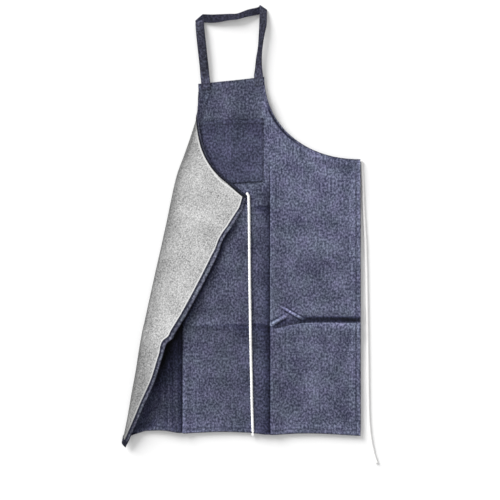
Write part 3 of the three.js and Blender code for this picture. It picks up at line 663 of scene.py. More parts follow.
def sheet_mesh(name, face, reverse, cut, looks):
    """A closed wall between two grids of points: its face, its reverse and its rim, with its UV map."""
    rows, columns = face.shape[:2]
    at = np.arange(rows * columns).reshape(rows, columns)
    upper = np.stack([at[:-1, :-1], at[1:, :-1], at[1:, 1:], at[:-1, 1:]], axis=-1).reshape(-1, 4)
    lower = upper[:, ::-1] + rows * columns
    round_it = np.concatenate([at[:, 0], at[-1, 1:], at[-2::-1, -1], at[0, -2:0:-1]])
    ahead = np.roll(round_it, -1)
    rim = np.stack([round_it, round_it + rows * columns, ahead + rows * columns, ahead], axis=-1)
    points = np.concatenate([face.reshape(-1, 3), reverse.reshape(-1, 3)])
    made = add_mesh(name, points.tolist(), np.concatenate([upper, lower, rim]).tolist(), looks)
    slots = np.repeat([0, len(looks) - 1, 0], [len(upper), len(lower), len(rim)])
    made.data.polygons.foreach_set("material_index", slots)
    add_uv(made, np.concatenate([cut.reshape(-1, 2)] * 2))
    shade_smooth(made, SHEET_SHARP)
    return made


# The hems show on the face as dark sewn lines, partly thread colour and partly painted shade of the sewn
# groove, and the weave as pale specks on indigo. Tones are shares of its lightness that the cloth keeps. A
# band has a share at a line and a width that it fades over.
STITCH_INSET = 0.002
SEAM_WIDTH = 0.004
EDGE_DARKNESS, EDGE_WIDTH = 0.15, 0.0022
SIDE_SEAM, BOTTOM_SEAM, BIB_SEAM = 0.35, 0.22, 0.05
ARMHOLE_SEAM, ARMHOLE_SEAM_FROM, ARMHOLE_SEAM_TO = 0.9, (0.01, 0.06), (0.12, 0.15)
LEFT_SEAM_SHARE, LEFT_TO_RIGHT = 0.3, (-0.02, 0.02)
# The short wrinkles get painted shade on their sides and a painted highlight on their tops.
WRINKLE_LEAN, WRINKLE_FOOT, WRINKLE_PAINTED_HIGHLIGHT = 0.2, 1.7, 1.7
DENIM_ROUGHNESS = 0.92
FACE_DARK, FACE_PALE = (0.031, 0.034, 0.066), (0.26, 0.271, 0.394)
SPECK_SCALE, SPECK_SHARE = (203, 172), 1.75
SLUB_SCALE, SLUB_SHARE = (300, 24), 0.3
WEFT_SCALE, WEFT_SHARE = (45, 330), 0.15
TWILL_PITCH, TWILL_SLOPE, TWILL_SHARE, TWILL_RELIEF = 0.0013, 1.2, 0.04, 0.5
CLOUD_SCALE, CLOUD_SHARE = 16, 0.6
TONE_MEAN, TONE_POWER = 0.45, 1.5
TINT_SCALE, TINT_CONTRAST = 24, 2.5
TINTS = ((0.95, 1.03, 0.98), (1.01, 0.97, 1.06))
# Where little lightness is kept, under painted shade or dark lines, the colour is tinted bluer as painted
# shade.
SHADE_TINT_FADES_AT, PAINTED_SHADE_TINT = 0.8, (0.93, 0.97, 1.4)
NO_TINT = (1.0, 1.0, 1.0)
WEAVE_RELIEF = 0.00021


def cut_distances(u, v):
    """In a shader, the distance of each edge of the cut, with its hem's width and its seam's darkness."""
    side = SKIRT_HALF_WIDTH - u.math("ABSOLUTE", u)
    top = BIB_HEIGHT - v
    across = side.either(0) * (1 / ARMHOLE_ACROSS)
    down = top.either(0) * (1 / BIB_HEIGHT)
    rise = across.math("POWER", across, ARMHOLE_POWER) + down.math("POWER", down, ARMHOLE_POWER) - 1
    slopes = []
    for share, size in ((across, ARMHOLE_ACROSS), (down, BIB_HEIGHT)):
        slope = ARMHOLE_POWER / size * share.math("POWER", share, ARMHOLE_POWER - 1)
        slopes.append(slope * slope)
    steepness = u.math("SQRT", slopes[0] + slopes[1])
    armhole = u.math("DIVIDE", rise, steepness)
    on_right = u.rise(*LEFT_TO_RIGHT)
    narrowed = HEM_NARROWING * v.rise(*HEM_NARROWS)
    full = v.rise(*FLAP_NARROWS_BELOW) * (1 - v.rise(*FLAP_NARROWS_ABOVE))
    flap_narrowed = FLAP_NARROWING * (1 - full) * (1 - on_right)
    armhole_seam = ARMHOLE_SEAM * v.rise(*ARMHOLE_SEAM_FROM) * (1 - v.rise(*ARMHOLE_SEAM_TO))
    armhole_seam = armhole_seam * (LEFT_SEAM_SHARE + (1 - LEFT_SEAM_SHARE) * on_right)
    return (
        (side, SIDE_HEM * (1 - flap_narrowed), SIDE_SEAM),
        (v + SKIRT_LENGTH, BOTTOM_HEM, BOTTOM_SEAM),
        (armhole, ARMHOLE_HEM * (1 - narrowed), armhole_seam),
        (top, BIB_HEM, BIB_SEAM),
    )


def sewn_hems(u, v):
    """In a shader, how dark the cut's edges and the sewn lines of its hems are."""
    dark = 0.0
    for distance, hem, darkness in cut_distances(u, v):
        sewn = darkness * distance.near(hem - STITCH_INSET, SEAM_WIDTH)
        dark = sewn.either(EDGE_DARKNESS * distance.near(0, EDGE_WIDTH)).either(dark)
    return dark


def short_wrinkle_painted_light(u, v):
    """In a shader, the painted shade on the sides of the short wrinkles and the painted highlight on their
    tops.
    """
    shade = 0.0
    for wrinkle in SMALL_WRINKLES:
        along, aside, length = wrinkle_place(wrinkle, u, v)
        width, taper = wrinkle["width"], length * WRINKLE_TAPER
        aside = aside * (1 / width)
        ends = along.rise(-width, taper) * (1 - along.rise(length - taper, length + width))
        top = u.math("EXPONENT", -1 * aside * aside) * ends
        foot = u.math("ABSOLUTE", aside - WRINKLE_LEAN) - WRINKLE_FOOT
        foot = u.math("EXPONENT", -1 * foot * foot) * ends
        shade = wrinkle["shade"] * (foot - WRINKLE_PAINTED_HIGHLIGHT * top) + shade
    return shade


def cut_places(start):
    """In a shader, the place of the cut as a vector and as its two coordinates."""
    cut = start.node("ShaderNodeUVMap", {"uv_map": "cut"})
    return cut, *(start.node("ShaderNodeSeparateXYZ", None, {0: cut}, output=axis) for axis in (0, 1))


def denim(name, dark, pale, lines, painted_relief_light=None):
    """Twill denim: specks of pale weft, slubs down the warp, slow changes of colour, dark sewn lines, and
    painted light and shade.
    """
    material, inputs, start = new_look(name, DENIM_ROUGHNESS)
    cut, u, v = cut_places(start)
    speck, slub, weft = (cut.stretched(*scale).noise(1.0) for scale in (SPECK_SCALE, SLUB_SCALE, WEFT_SCALE))
    twill = start.math("SINE", (u + TWILL_SLOPE * v) * (2 * math.pi / TWILL_PITCH))
    weave = SPECK_SHARE * speck + SLUB_SHARE * slub + WEFT_SHARE * weft
    tone = (TONE_MEAN + weave + CLOUD_SHARE * cut.noise(CLOUD_SCALE) + TWILL_SHARE * twill).either(0)
    tone = start.math("POWER", tone, TONE_POWER)
    tint = (cut.noise(TINT_SCALE) * TINT_CONTRAST + 0.5).mix(*TINTS)
    # The mesh attribute brings the cloth's tone together with painted light and shade.
    kept = start.node("ShaderNodeAttribute", {"attribute_name": "tone_and_painted_shade"}, output="Fac") * (1 - lines(u, v))
    if painted_relief_light:
        kept = kept * (1 - painted_relief_light(u, v))
    painted_shade_tint = kept.rise(0.0, SHADE_TINT_FADES_AT).mix(PAINTED_SHADE_TINT, NO_TINT)
    start.put(inputs["Base Color"], tone.mix(dark, pale).times(tint).times(kept).times(painted_shade_tint))
    height = WEAVE_RELIEF * (weave + TWILL_RELIEF * twill)
    bump = start.node("ShaderNodeBump", None, {"Strength": 1.0, "Distance": 1.0, "Height": height})
    start.put(inputs["Normal"], bump)
    return material


def set_tone_and_painted_shade(made, values):
    """The share of its lightness that the cloth keeps at each point of a mesh: its tone together with painted
    light and shade.
    """
    layer = made.data.attributes.new("tone_and_painted_shade", "FLOAT", "POINT")
    values = np.broadcast_to(values, len(layer.data))
    layer.data.foreach_set("value", np.ascontiguousarray(values, np.float32))


def band(distance, share, width):
    """A share at a line, which falls to nothing on one side of it, and is nothing on the other."""
    return share * np.where(distance >= 0, np.exp(-np.abs(distance) / width), 0)


def within(begins, stops, value):
    """A share that grows to 1 over one stretch and falls to nothing over another."""
    return ease(*begins, value) * (1 - ease(*stops, value))


# The face away from its creases: a middle part and a paler right part, which meet at the right crease on
# the skirt and at the pocket's edge on the bib.
BIB_FROM, BIB_TONE, BIB_STEP = (-0.1, -0.06), 0.78, (0.078, 0.087)
CREASE_STEP = (RIGHT_CREASE - 0.002, RIGHT_CREASE + 0.001)
LOW_PART, LOW_LOSS = (-0.2, -0.5), 0.06
MIDDLE_TONES = (
    (-0.125, -0.1, -0.075, -0.045, 0.0, 0.03, 0.06, 0.1),
    (1.3, 1.2, 1.02, 0.88, 0.79, 0.69, 0.67, 0.58),
)
RIGHT_TONES = ((-0.7, -0.5, -0.25, -0.05, 0.05), (0.89, 0.91, 0.99, 1.16, 1.19))


def ground_tone(u, v):
    """The lightness of the face away from its edges and creases."""
    on_bib = ease(*BIB_FROM, v)
    right_side = (1 - on_bib) * ease(*CREASE_STEP, u) + on_bib * ease(*BIB_STEP, u)
    middle = smooth_table(*MIDDLE_TONES, u) * (1 - LOW_LOSS * ease(*LOW_PART, v))
    middle = middle * (1 - on_bib) + BIB_TONE * on_bib
    return middle + (smooth_table(*RIGHT_TONES, v) - middle) * right_side


# Beside the long creases: painted shade on the left of each, more so lower down. On the right, a thin line of
# painted shade is beside the right crease and a thin painted highlight beside the left crease.
FADES_AT_WAIST, WAIST_FADE = 0.8, (-0.127, -0.108)
FADES_ON_BIB, BIB_FADE = 0.2, (-0.05, 0.035)
CREASE_JOG, JOG_AT = 0.0024, (-0.43, -0.46)
RIGHT_SHADE, RIGHT_SHADE_WIDTH, RIGHT_SHADE_WIDENS = 0.8, 0.004, 0.01
RIGHT_RIM = (0.2, 0.004)
LEFT_SHADE, LEFT_HAZE, LEFT_SHINE = (0.5, 0.006), (0.46, 0.02), (0.15, 0.002)


def long_crease_painted_shade(u, v):
    """What the painted shade and highlight beside the long creases leave of the lightness."""
    low = ease(*LOW_PART, v)
    strength = 1 - FADES_AT_WAIST * ease(*WAIST_FADE, v) - FADES_ON_BIB * ease(*BIB_FADE, v)
    crease = RIGHT_CREASE + CREASE_JOG * ease(*JOG_AT, v)
    tone = 1 - strength * band(crease - u, RIGHT_SHADE, RIGHT_SHADE_WIDTH + RIGHT_SHADE_WIDENS * low)
    tone *= 1 - strength * band(u - crease, *RIGHT_RIM)
    tone *= 1 - low * (band(LEFT_CREASE - u, *LEFT_SHADE) + band(LEFT_CREASE - u, *LEFT_HAZE))
    return tone * (1 + low * band(u - LEFT_CREASE, *LEFT_SHINE))


# Beside the cross creases: a trough of painted shade over the right one with a painted highlight at its foot,
# painted shade under the middle one with a painted highlight above it, and painted shade under the upper one
# and under the middle one next to the left cord.
TROUGH_SHADE, TROUGH_ABOVE, TROUGH_WIDTH, TROUGH_POWER = 0.78, 0.0087, 0.0077, 4
TROUGH_START = 0.35
TROUGH_GROWTH = ((0.55, (0.165, 0.195)), (0.1, (0.2, 0.32)))
TROUGH_HAZE, HAZE_STOPS = 0.17, (0.02, 0.036)
FOOT_SHINE, FOOT_GLOW = (0.15, 0.004), (0.25, 0.05)
MIDDLE_SHADE_LINE = (
    (-0.125, -0.093, -0.041, 0.01, 0.031, 0.0645, 0.101),
    (-0.43, -0.4283, -0.4265, -0.4245, -0.429, -0.4215, -0.43),
)
MIDDLE_SHADE, MIDDLE_DARKENS, DARKENS_AT = 0.42, 0.14, (-0.04, 0)
MIDDLE_WIDTH, MIDDLE_WIDENS, WIDENS_AT = 0.008, 0.01, (-0.01, 0.03)
MIDDLE_GLOW = (0.2, 0.016)
CORD_SIDE = (0.05, 0.07)
UPPER_CROSS_PAINTED_SHADE = (0.7, 0.013)
CORD_PAINTED_SHADE, CORD_SHADE_BELOW, CORD_SHADE_WIDTH = 0.3, 0.012, 0.014


def cross_crease_painted_shade(u, v):
    """What the painted shade and highlights beside the cross creases leave of the lightness."""
    above = v - smooth_table(*RIGHT_LINE, u)
    beyond = ease(RIGHT_CREASE, RIGHT_CREASE + CREASE_SHOULDER, u)
    trough = np.exp(-(((above - TROUGH_ABOVE) / TROUGH_WIDTH) ** TROUGH_POWER))
    trough *= TROUGH_START + sum(growth * ease(*grows, u) for growth, grows in TROUGH_GROWTH)
    haze = np.where(above >= 0, 1 - ease(*HAZE_STOPS, above), 0)
    shade = TROUGH_SHADE * trough + TROUGH_HAZE * haze
    tone = 1 - beyond * (shade - band(-above, *FOOT_SHINE) - band(-above, *FOOT_GLOW))
    above = v - smooth_table(*MIDDLE_SHADE_LINE, u)
    between = ease(LEFT_CREASE, LEFT_CREASE + CREASE_SHOULDER, u) * (1 - beyond)
    darkness = MIDDLE_SHADE + MIDDLE_DARKENS * ease(*DARKENS_AT, u)
    below = band(-above, darkness, MIDDLE_WIDTH + MIDDLE_WIDENS * ease(*WIDENS_AT, u))
    tone *= 1 - between * (below - band(above, *MIDDLE_GLOW))
    cord_shade = CORD_PAINTED_SHADE * np.exp(-(((above + CORD_SHADE_BELOW) / CORD_SHADE_WIDTH) ** 2))
    return tone * (1 - within(CORD_SIDE, CREASE_STEP, u) * (band(UPPER_CROSS - v, *UPPER_CROSS_PAINTED_SHADE) + cord_shade))


# Along the right armhole: painted light where the edge curls up at the waist, and painted shade beside the
# bib.
CURL_GLOW, CURL_GLOW_DEPTH, CURL_GLOW_STOPS, CURL_GLOW_FROM = 0.5, (0.004, 0.02), (0.03, 0.08), (0.1, 0.15)
BIB_DIM, BIB_DIM_DEPTH, BIB_DIM_FROM = 0.18, (0.004, 0.016), (0, 0.05)
BIB_DIM_BEGINS, BIB_DIM_STOPS = (0.05, 0.09), (0.17, 0.19)


def armhole_painted_light(u, v):
    """What the painted light and shade along the curled edge of the right armhole add to the lightness or
    leave of it.
    """
    edge = armhole_rise(np.abs(u), v)[0]
    glow = CURL_GLOW * (1 - ease(*CURL_GLOW_DEPTH, edge)) * (1 - ease(*CURL_GLOW_STOPS, v))
    dim = BIB_DIM * (1 - ease(*BIB_DIM_DEPTH, edge)) * within(BIB_DIM_BEGINS, BIB_DIM_STOPS, v)
    return (1 + glow * ease(*CURL_GLOW_FROM, u)) * (1 - dim * ease(*BIB_DIM_FROM, u))


# Beside the folded side: painted shade in streaks on the left of the left crease, painted light along the
# upper part of the folded side's edge, and painted shade along the rest of it, deepest close to the edge and
# left of the crease.
STREAKS = ({"width": 0.019, "slant": 8}, {"width": 0.0071, "slant": 5})
STREAK_MEAN, STREAK_SHARE = 0.32, 0.14
STREAKS_STOP = (LEFT_CREASE - 0.01, LEFT_CREASE)
SHADED_FROM, LOWER_SHADE = (-0.3, -0.45), 0.97
SHADE_EASES, SHADE_EASING = (-0.54, -0.64), 0.5
UPPER_GLOW = 0.6
PAST_CREASE, PAST_CREASE_LOSS = (LEFT_CREASE - 0.002, LEFT_CREASE + 0.002), 0.75
SHADE_FROM, SHADE_WIDTH, SHADE_WIDENS = (-0.04, -0.1), 0.03, 0.02
EDGE_SHADE, EDGE_SHADE_BEGINS, EDGE_SHADE_STOPS = 0.93, (-0.15, -0.19), (-0.48, -0.54)
EDGE_SHADE_CORE, EDGE_SHADE_WIDTH = 0.004, 0.008
DEEP_SHADE, DEEP_BEGINS, DEEP_STOPS, DEEP_WIDTH = 0.6, (-0.4, -0.44), (-0.49, -0.55), 0.05
DEEP_SIDE = (LEFT_CREASE - 0.002, LEFT_CREASE)
FLAP_EDGE_POINTS = 200


def flap_gap(u, v):
    """How far a place is clear of the folded side's edge, which lies over the front."""
    edge_v = np.linspace(0, -SKIRT_LENGTH, FLAP_EDGE_POINTS)
    edge = reverse_point(np.full(FLAP_EDGE_POINTS, -SKIRT_HALF_WIDTH), edge_v)[:, :2] - FOLD_TOP
    place = spread(u, v) - FOLD_TOP
    return np.interp(place @ FOLD_ALONG, edge @ FOLD_ALONG, edge @ FOLD_OUT) - place @ FOLD_OUT


def folded_side_painted_shade(u, v):
    """What the painted shade and light from the folded side leave of the lightness on the cloth under and
    beside it.
    """
    low = ease(*LOW_PART, v)
    streaks = sum(np.sin(2 * math.pi * u / streak["width"] + streak["slant"] * v) for streak in STREAKS)
    tone = 1 - (1 - ease(*STREAKS_STOP, u)) * low * (STREAK_MEAN + STREAK_SHARE * streaks)
    lower = ease(*SHADED_FROM, v)
    shade = lower * LOWER_SHADE * (1 - SHADE_EASING * ease(*SHADE_EASES, v)) - UPPER_GLOW * (1 - lower)
    shade *= 1 - PAST_CREASE_LOSS * low * ease(*PAST_CREASE, u)
    gap = np.maximum(flap_gap(u, v), 0)
    tone *= 1 - ease(*SHADE_FROM, v) * shade * np.exp(-gap / (SHADE_WIDTH + SHADE_WIDENS * low))
    at_edge = within(EDGE_SHADE_BEGINS, EDGE_SHADE_STOPS, v)
    tone *= 1 - EDGE_SHADE * at_edge * np.exp(-np.maximum(gap - EDGE_SHADE_CORE, 0) / EDGE_SHADE_WIDTH)
    deep = within(DEEP_BEGINS, DEEP_STOPS, v) * (1 - ease(*DEEP_SIDE, u))
    return tone * (1 - DEEP_SHADE * deep * np.exp(-gap / DEEP_WIDTH))


# The reverse: pale grey with fine specks and threads, with painted shade round the fold and towards the
# bottom, and a painted highlight along the inner edge of each hem.
REVERSE_DARK, REVERSE_PALE = (0.16, 0.16, 0.162), (0.74, 0.74, 0.738)
REVERSE_ROUGHNESS = 0.95
REVERSE_MEAN = 0.555
FUZZ_SCALE, FUZZ_SHARE = (300, 260), 1.5
YARN_SCALE, YARN_SHARE = (330, 60), 0.4
SLOW_CLOUDS, SLOW_SHARE = 15, 0.5
QUICK_CLOUDS, QUICK_SHARE = 110, 0.5
PAINTED_HEM_HIGHLIGHT, HEM_SHINE_INSET, HEM_SHINE_WIDTH = 0.7, 0.002, 0.0024
FUZZ_STRENGTH, FUZZ_DEPTH = 0.4, 0.0004
FOLD_PAINTED_SHADE = (
    (0, 0.004, 0.0065, 0.009, 0.012, 0.017, 0.03, 0.05),
    (0.14, 0.31, 0.42, 0.55, 0.64, 0.74, 0.88, 1.0),
)
REVERSE_TONE_RADIUS = 0.0125
REVERSE_FOOT, REVERSE_FOOT_PAINTED_SHADE = (-0.42, -0.6), 0.12


def reverse_painted_shade(u, v):
    """The lightness that the reverse keeps under its painted shade: less round the fold, beside it and
    towards the bottom.
    """
    _, radius, _, past = fold_place(u, v)
    angle = np.clip(past / radius, 0, math.pi)
    flap = np.maximum(past - math.pi * radius, 0)
    inset = (radius * (1 - np.sin(angle)) + flap) * np.minimum(REVERSE_TONE_RADIUS / radius, 1)
    return smooth_table(*FOLD_PAINTED_SHADE, inset) * (1 - REVERSE_FOOT_PAINTED_SHADE * ease(*REVERSE_FOOT, v))


face_look = denim("denim_face", FACE_DARK, FACE_PALE, sewn_hems, short_wrinkle_painted_light)

reverse_look, inputs, start = new_look("denim_reverse", REVERSE_ROUGHNESS)
cut, u, v = cut_places(start)
speck = cut.stretched(*FUZZ_SCALE).noise(1.0)
yarn = cut.stretched(*YARN_SCALE).noise(1.0)
tone = REVERSE_MEAN + FUZZ_SHARE * speck + YARN_SHARE * yarn
tone = tone + SLOW_SHARE * cut.noise(SLOW_CLOUDS) + QUICK_SHARE * cut.noise(QUICK_CLOUDS)
for distance, hem, _ in cut_distances(u, v):
    tone = tone + PAINTED_HEM_HIGHLIGHT * distance.near(hem + HEM_SHINE_INSET, HEM_SHINE_WIDTH)
# The mesh attribute brings the painted shade of the reverse.
kept = start.node("ShaderNodeAttribute", {"attribute_name": "tone_and_painted_shade"}, output="Fac")
start.put(inputs["Base Color"], tone.mix(REVERSE_DARK, REVERSE_PALE).times(kept))
fuzz = {"Strength": FUZZ_STRENGTH, "Distance": FUZZ_DEPTH, "Height": speck + yarn}
start.put(inputs["Normal"], start.node("ShaderNodeBump", None, fuzz))

panel_u, panel_v = panel_grid()
panel_cut = np.stack([panel_u, panel_v], axis=-1)
panel_face = cloth_point(panel_u, panel_v, CLOTH)
panel_reverse = cloth_point(panel_u, panel_v, 0.0)
panel = sheet_mesh("denim_panel", panel_face, panel_reverse, panel_cut, [face_look, reverse_look])
# The face keeps its ground tone times the painted light and shade beside its creases, armhole and folded
# side.
face_tones_and_painted_light = (ground_tone, long_crease_painted_shade, cross_crease_painted_shade, armhole_painted_light, folded_side_painted_shade)
face_tone_and_painted_shade = math.prod(tone(panel_u, panel_v) for tone in face_tones_and_painted_light)
set_tone_and_painted_shade(panel, np.concatenate([face_tone_and_painted_shade.ravel(), reverse_painted_shade(panel_u, panel_v).ravel()]))
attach(panel, "root")
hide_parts("body_panel")


# Hems: every edge of the cut is turned over to the reverse and sewn down with one row of dark thread.
# On the folded side they lie uppermost, as a band of blue along the edge of the pale reverse.
HEM_STEP = 0.004
HEM_ROLL = 0.001
HEM_LIP = 0.0012
ROLL_STEPS = 6
HEM_LIP_RISE = CLOTH / 4
HEM_SHARES = (0.12, 0.25, 0.38, 0.5, 0.62, 0.75, 0.88, 1)
HEM_END, HEM_END_RISE = CLOTH / 3, 1.6
HEM_SHARP = 40
ARMHOLE_HEM_START, ARMHOLE_HEM_POINTS = math.radians(5.2), 95
HEM_DARK, HEM_PALE = (0.031, 0.033, 0.055), (0.238, 0.243, 0.31)
# Tones across a hem are partly its own darker folded edges and partly painted shade along them.
PLAIN_TONES = ((0, 0.1, 1), (1.25, 0.9, 0.85))
FLAP_ARMHOLE_TONES = ((0, 0.42, 0.57, 1), (0.7, 0.7, 0.06, 0.06))
FLAP_SIDE_TONES = ((0, 0.08, 0.14, 0.52, 0.66, 1), (0.3, 0.4, 1.05, 1.05, 0.38, 0.3))
BOTTOM_TONES = ((0, 0.1, 1), (0.9, 0.6, 0.5))
FLAP_WAIST_TONE = (0.35, (0.005, 0.06))
BAND_TONE, BAND_GAIN, BAND_GAINS_AT = 1.05, 0.4, (-0.42, -0.3)
BAND_TOP_TONE, BAND_FOOT_TONE = (0.45, (-0.03, -0.06)), (0.8, (-0.66, -0.58))
BOTTOM_CORNER_TONE = (0.3, (-0.31, -0.25))
THREAD_COLOURS = ((0.03, 0.033, 0.058), (0.07, 0.075, 0.115))
THREAD_ROUGHNESS, THREAD_FLECKS = 0.7, 900
STITCH_SPACING, STITCH_LENGTH, STITCH_WIDTH = 0.0034, 0.0027, 0.0009
STITCH_STANDS = STITCH_WIDTH / 4
STITCH_SEGMENTS, STITCH_RINGS = 6, 5
STITCH_SHORTEST, STITCH_LONGEST, STITCH_SEED = 0.85, 1.1, 7

hem_look = denim("denim_hem", HEM_DARK, HEM_PALE, sewn_hems)
thread_look, inputs, start = new_look("navy_thread", THREAD_ROUGHNESS)
place = start.node("ShaderNodeTexCoord", output="Object")
start.put(inputs["Base Color"], (place.noise(THREAD_FLECKS) + 0.5).mix(*THREAD_COLOURS))


def stitch_tree():
    """Stitches of thread, laid end to end along every line of a mesh of edges."""
    tree = bpy.data.node_groups.new("stitch_rows", "GeometryNodeTree")
    tree.interface.new_socket("Lines", in_out="INPUT", socket_type="NodeSocketGeometry")
    for size in ("Spacing", "Length", "Width"):
        tree.interface.new_socket(size, in_out="INPUT", socket_type="NodeSocketFloat")
    tree.interface.new_socket("Thread", in_out="INPUT", socket_type="NodeSocketMaterial")
    tree.interface.new_socket("Stitches", in_out="OUTPUT", socket_type="NodeSocketGeometry")
    given = tree.nodes.new("NodeGroupInput").outputs
    given = {socket.name: Look(tree, socket) for socket in given if socket.name}
    start = Look(tree)
    curve = start.node("GeometryNodeMeshToCurve", None, {"Mesh": given["Lines"]})
    spaced = tree.nodes.new("GeometryNodeCurveToPoints")
    spaced.mode = "LENGTH"
    start.put(spaced.inputs["Curve"], curve)
    start.put(spaced.inputs["Length"], given["Spacing"])
    tangent = Look(tree, spaced.outputs["Tangent"])
    turned = start.node("FunctionNodeAlignRotationToVector", {"axis": "X"}, {"Vector": tangent})
    lengths = {2: STITCH_SHORTEST, 3: STITCH_LONGEST, "Seed": STITCH_SEED}
    uneven = start.node("FunctionNodeRandomValue", {"data_type": "FLOAT"}, lengths, output=1)
    sizes = {0: given["Length"] * uneven, 1: given["Width"], 2: given["Width"]}
    size = start.node("ShaderNodeCombineXYZ", None, sizes)
    ball = {"Segments": STITCH_SEGMENTS, "Rings": STITCH_RINGS, "Radius": 0.5}
    bead = start.node("GeometryNodeMeshUVSphere", None, ball)
    places = Look(tree, spaced.outputs["Points"])
    laid = {"Points": places, "Instance": bead, "Rotation": turned, "Scale": size}
    placed = start.node("GeometryNodeInstanceOnPoints", None, laid)
    real = start.node("GeometryNodeRealizeInstances", None, {"Geometry": placed})
    coloured = start.node("GeometryNodeSetMaterial", None, {"Geometry": real, "Material": given["Thread"]})
    start.put(tree.nodes.new("NodeGroupOutput").inputs["Stitches"], coloured)
    return tree


stitch_rows = stitch_tree()


def add_stitches(name, lines):
    """A mesh of stitches along some lines of points."""
    points = np.concatenate(lines)
    lasts = np.cumsum([len(line) for line in lines]) - 1
    edges = [(k, k + 1) for k in range(len(points) - 1) if k not in lasts]
    mesh = bpy.data.meshes.new(name + "_lines")
    mesh.from_pydata(points.tolist(), edges, [])
    guide = bpy.data.objects.new(name + "_lines", mesh)
    bpy.context.collection.objects.link(guide)
    modifier = guide.modifiers.new("stitches", "NODES")
    modifier.node_group = stitch_rows
    values = {"Spacing": STITCH_SPACING, "Length": STITCH_LENGTH, "Width": STITCH_WIDTH}
    values["Thread"] = thread_look
    for socket in stitch_rows.interface.items_tree:
        if socket.name in values:
            modifier[socket.identifier] = values[socket.name]
    evaluated = guide.evaluated_get(bpy.context.evaluated_depsgraph_get())
    made = bpy.data.objects.new(name, bpy.data.meshes.new_from_object(evaluated))
    bpy.data.objects.remove(guide)
    bpy.context.collection.objects.link(made)
    made.data.shade_smooth()
    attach(made, "root")
    return made


def hem_profile(width):
    """The section of a hem: how far each of its points is in from the edge, and off the reverse."""
    inner, outer = -SEAM_GAP, -SEAM_GAP - CLOTH
    top = CLOTH + SEAM_GAP
    bend = np.linspace(math.pi / 2, -math.pi / 2, ROLL_STEPS)
    lip = top + HEM_LIP_RISE
    middle, tall = (lip + outer) / 2, (lip - outer) / 2
    roll = [(-HEM_ROLL * math.cos(a), middle + tall * math.sin(a)) for a in bend]
    under = [(width, inner), (-SEAM_GAP, inner), (-SEAM_GAP, top), (HEM_LIP, top), (HEM_LIP, lip)]
    flat = [(width * share, outer) for share in HEM_SHARES]
    return np.array([*under, *roll, *flat, (width + HEM_END, outer / HEM_END_RISE)])


def add_hem(name, node, edge, inward, width, lightness, along_tones=1.0):
    """A hem along an edge of the cut. Its two rows of stitches, face and reverse, go on the list of lines."""
    profile = hem_profile(width)
    cut = edge[:, None] + inward[:, None] * profile[:, :1]
    rings = cloth_point(cut[..., 0], cut[..., 1], np.broadcast_to(profile[:, 1], cut.shape[:2]))
    hem = swept(name, rings, cut, hem_look)
    shade_smooth(hem, HEM_SHARP)
    tones = np.interp(profile[:, 0] / width, *lightness)
    set_tone_and_painted_shade(hem, (np.broadcast_to(along_tones, len(edge))[:, None] * tones).ravel())
    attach(hem, "root")
    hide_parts(node)
    sewn = edge + inward * (width - STITCH_INSET)
    for offset in (CLOTH + STITCH_STANDS, -SEAM_GAP - CLOTH - STITCH_STANDS):
        hem_lines.append(cloth_point(sewn[:, 0], sewn[:, 1], offset))
    return hem


def straight_edge(start, end):
    count = round(math.dist(start, end) / HEM_STEP)
    return np.linspace(start, end, count)


def to_left(places):
    return places * np.array([-1.0, 1.0])


def grown(least, stretch, value):
    """A share that grows to 1 over a stretch."""
    return least + (1 - least) * ease(*stretch, value)


hem_lines = []
bib_edge = straight_edge((-BIB_TOP_HALF_WIDTH, BIB_HEIGHT), (BIB_TOP_HALF_WIDTH, BIB_HEIGHT))
bib_inward = np.tile([0.0, -1.0], (len(bib_edge), 1))
hems = [add_hem("bib_turning", "bib_hem", bib_edge, bib_inward, BIB_HEM, PLAIN_TONES)]

edge = armhole_point(np.linspace(ARMHOLE_HEM_START, math.pi / 2, ARMHOLE_HEM_POINTS))
narrowing = 1 - HEM_NARROWING * ease(*HEM_NARROWS, edge[:, 1])
inward = -armhole_rise(edge[:, 0], edge[:, 1])[1] * narrowing[:, None]
hems.append(add_hem("right_armhole_turning", "right_armhole_hem", edge, inward, ARMHOLE_HEM, PLAIN_TONES))
left = ("left_armhole_turning", "left_armhole_hem", to_left(edge), to_left(inward))
hems.append(add_hem(*left, ARMHOLE_HEM, FLAP_ARMHOLE_TONES, grown(*FLAP_WAIST_TONE, edge[:, 1])))

side_foot = (SKIRT_HALF_WIDTH, BOTTOM_HEM + SEAM_GAP - SKIRT_LENGTH)
edge = straight_edge((SKIRT_HALF_WIDTH, -ARMHOLE_HEM - SEAM_GAP), side_foot)
inward = np.tile([-1.0, 0.0], (len(edge), 1))
hems.append(add_hem("right_side_turning", "right_side_hem", edge, inward, SIDE_HEM, PLAIN_TONES))
band_tones = BAND_TONE + BAND_GAIN * ease(*BAND_GAINS_AT, edge[:, 1])
band_tones *= grown(*BAND_TOP_TONE, edge[:, 1]) * grown(*BAND_FOOT_TONE, edge[:, 1])
narrowing = 1 - FLAP_NARROWING * (1 - within(FLAP_NARROWS_BELOW, FLAP_NARROWS_ABOVE, edge[:, 1]))
left = ("left_side_turning", "left_side_hem", to_left(edge), to_left(inward * narrowing[:, None]))
hems.append(add_hem(*left, SIDE_HEM, FLAP_SIDE_TONES, band_tones))

edge = straight_edge((-SKIRT_HALF_WIDTH, -SKIRT_LENGTH), (SKIRT_HALF_WIDTH, -SKIRT_LENGTH))
bottom = ("bottom_turning", "bottom_hem", edge, np.tile([0.0, 1.0], (len(edge), 1)))
hems.append(add_hem(*bottom, BOTTOM_HEM, BOTTOM_TONES, grown(*BOTTOM_CORNER_TONE, edge[:, 0])))
hems.append(add_stitches("hem_stitches", hem_lines))


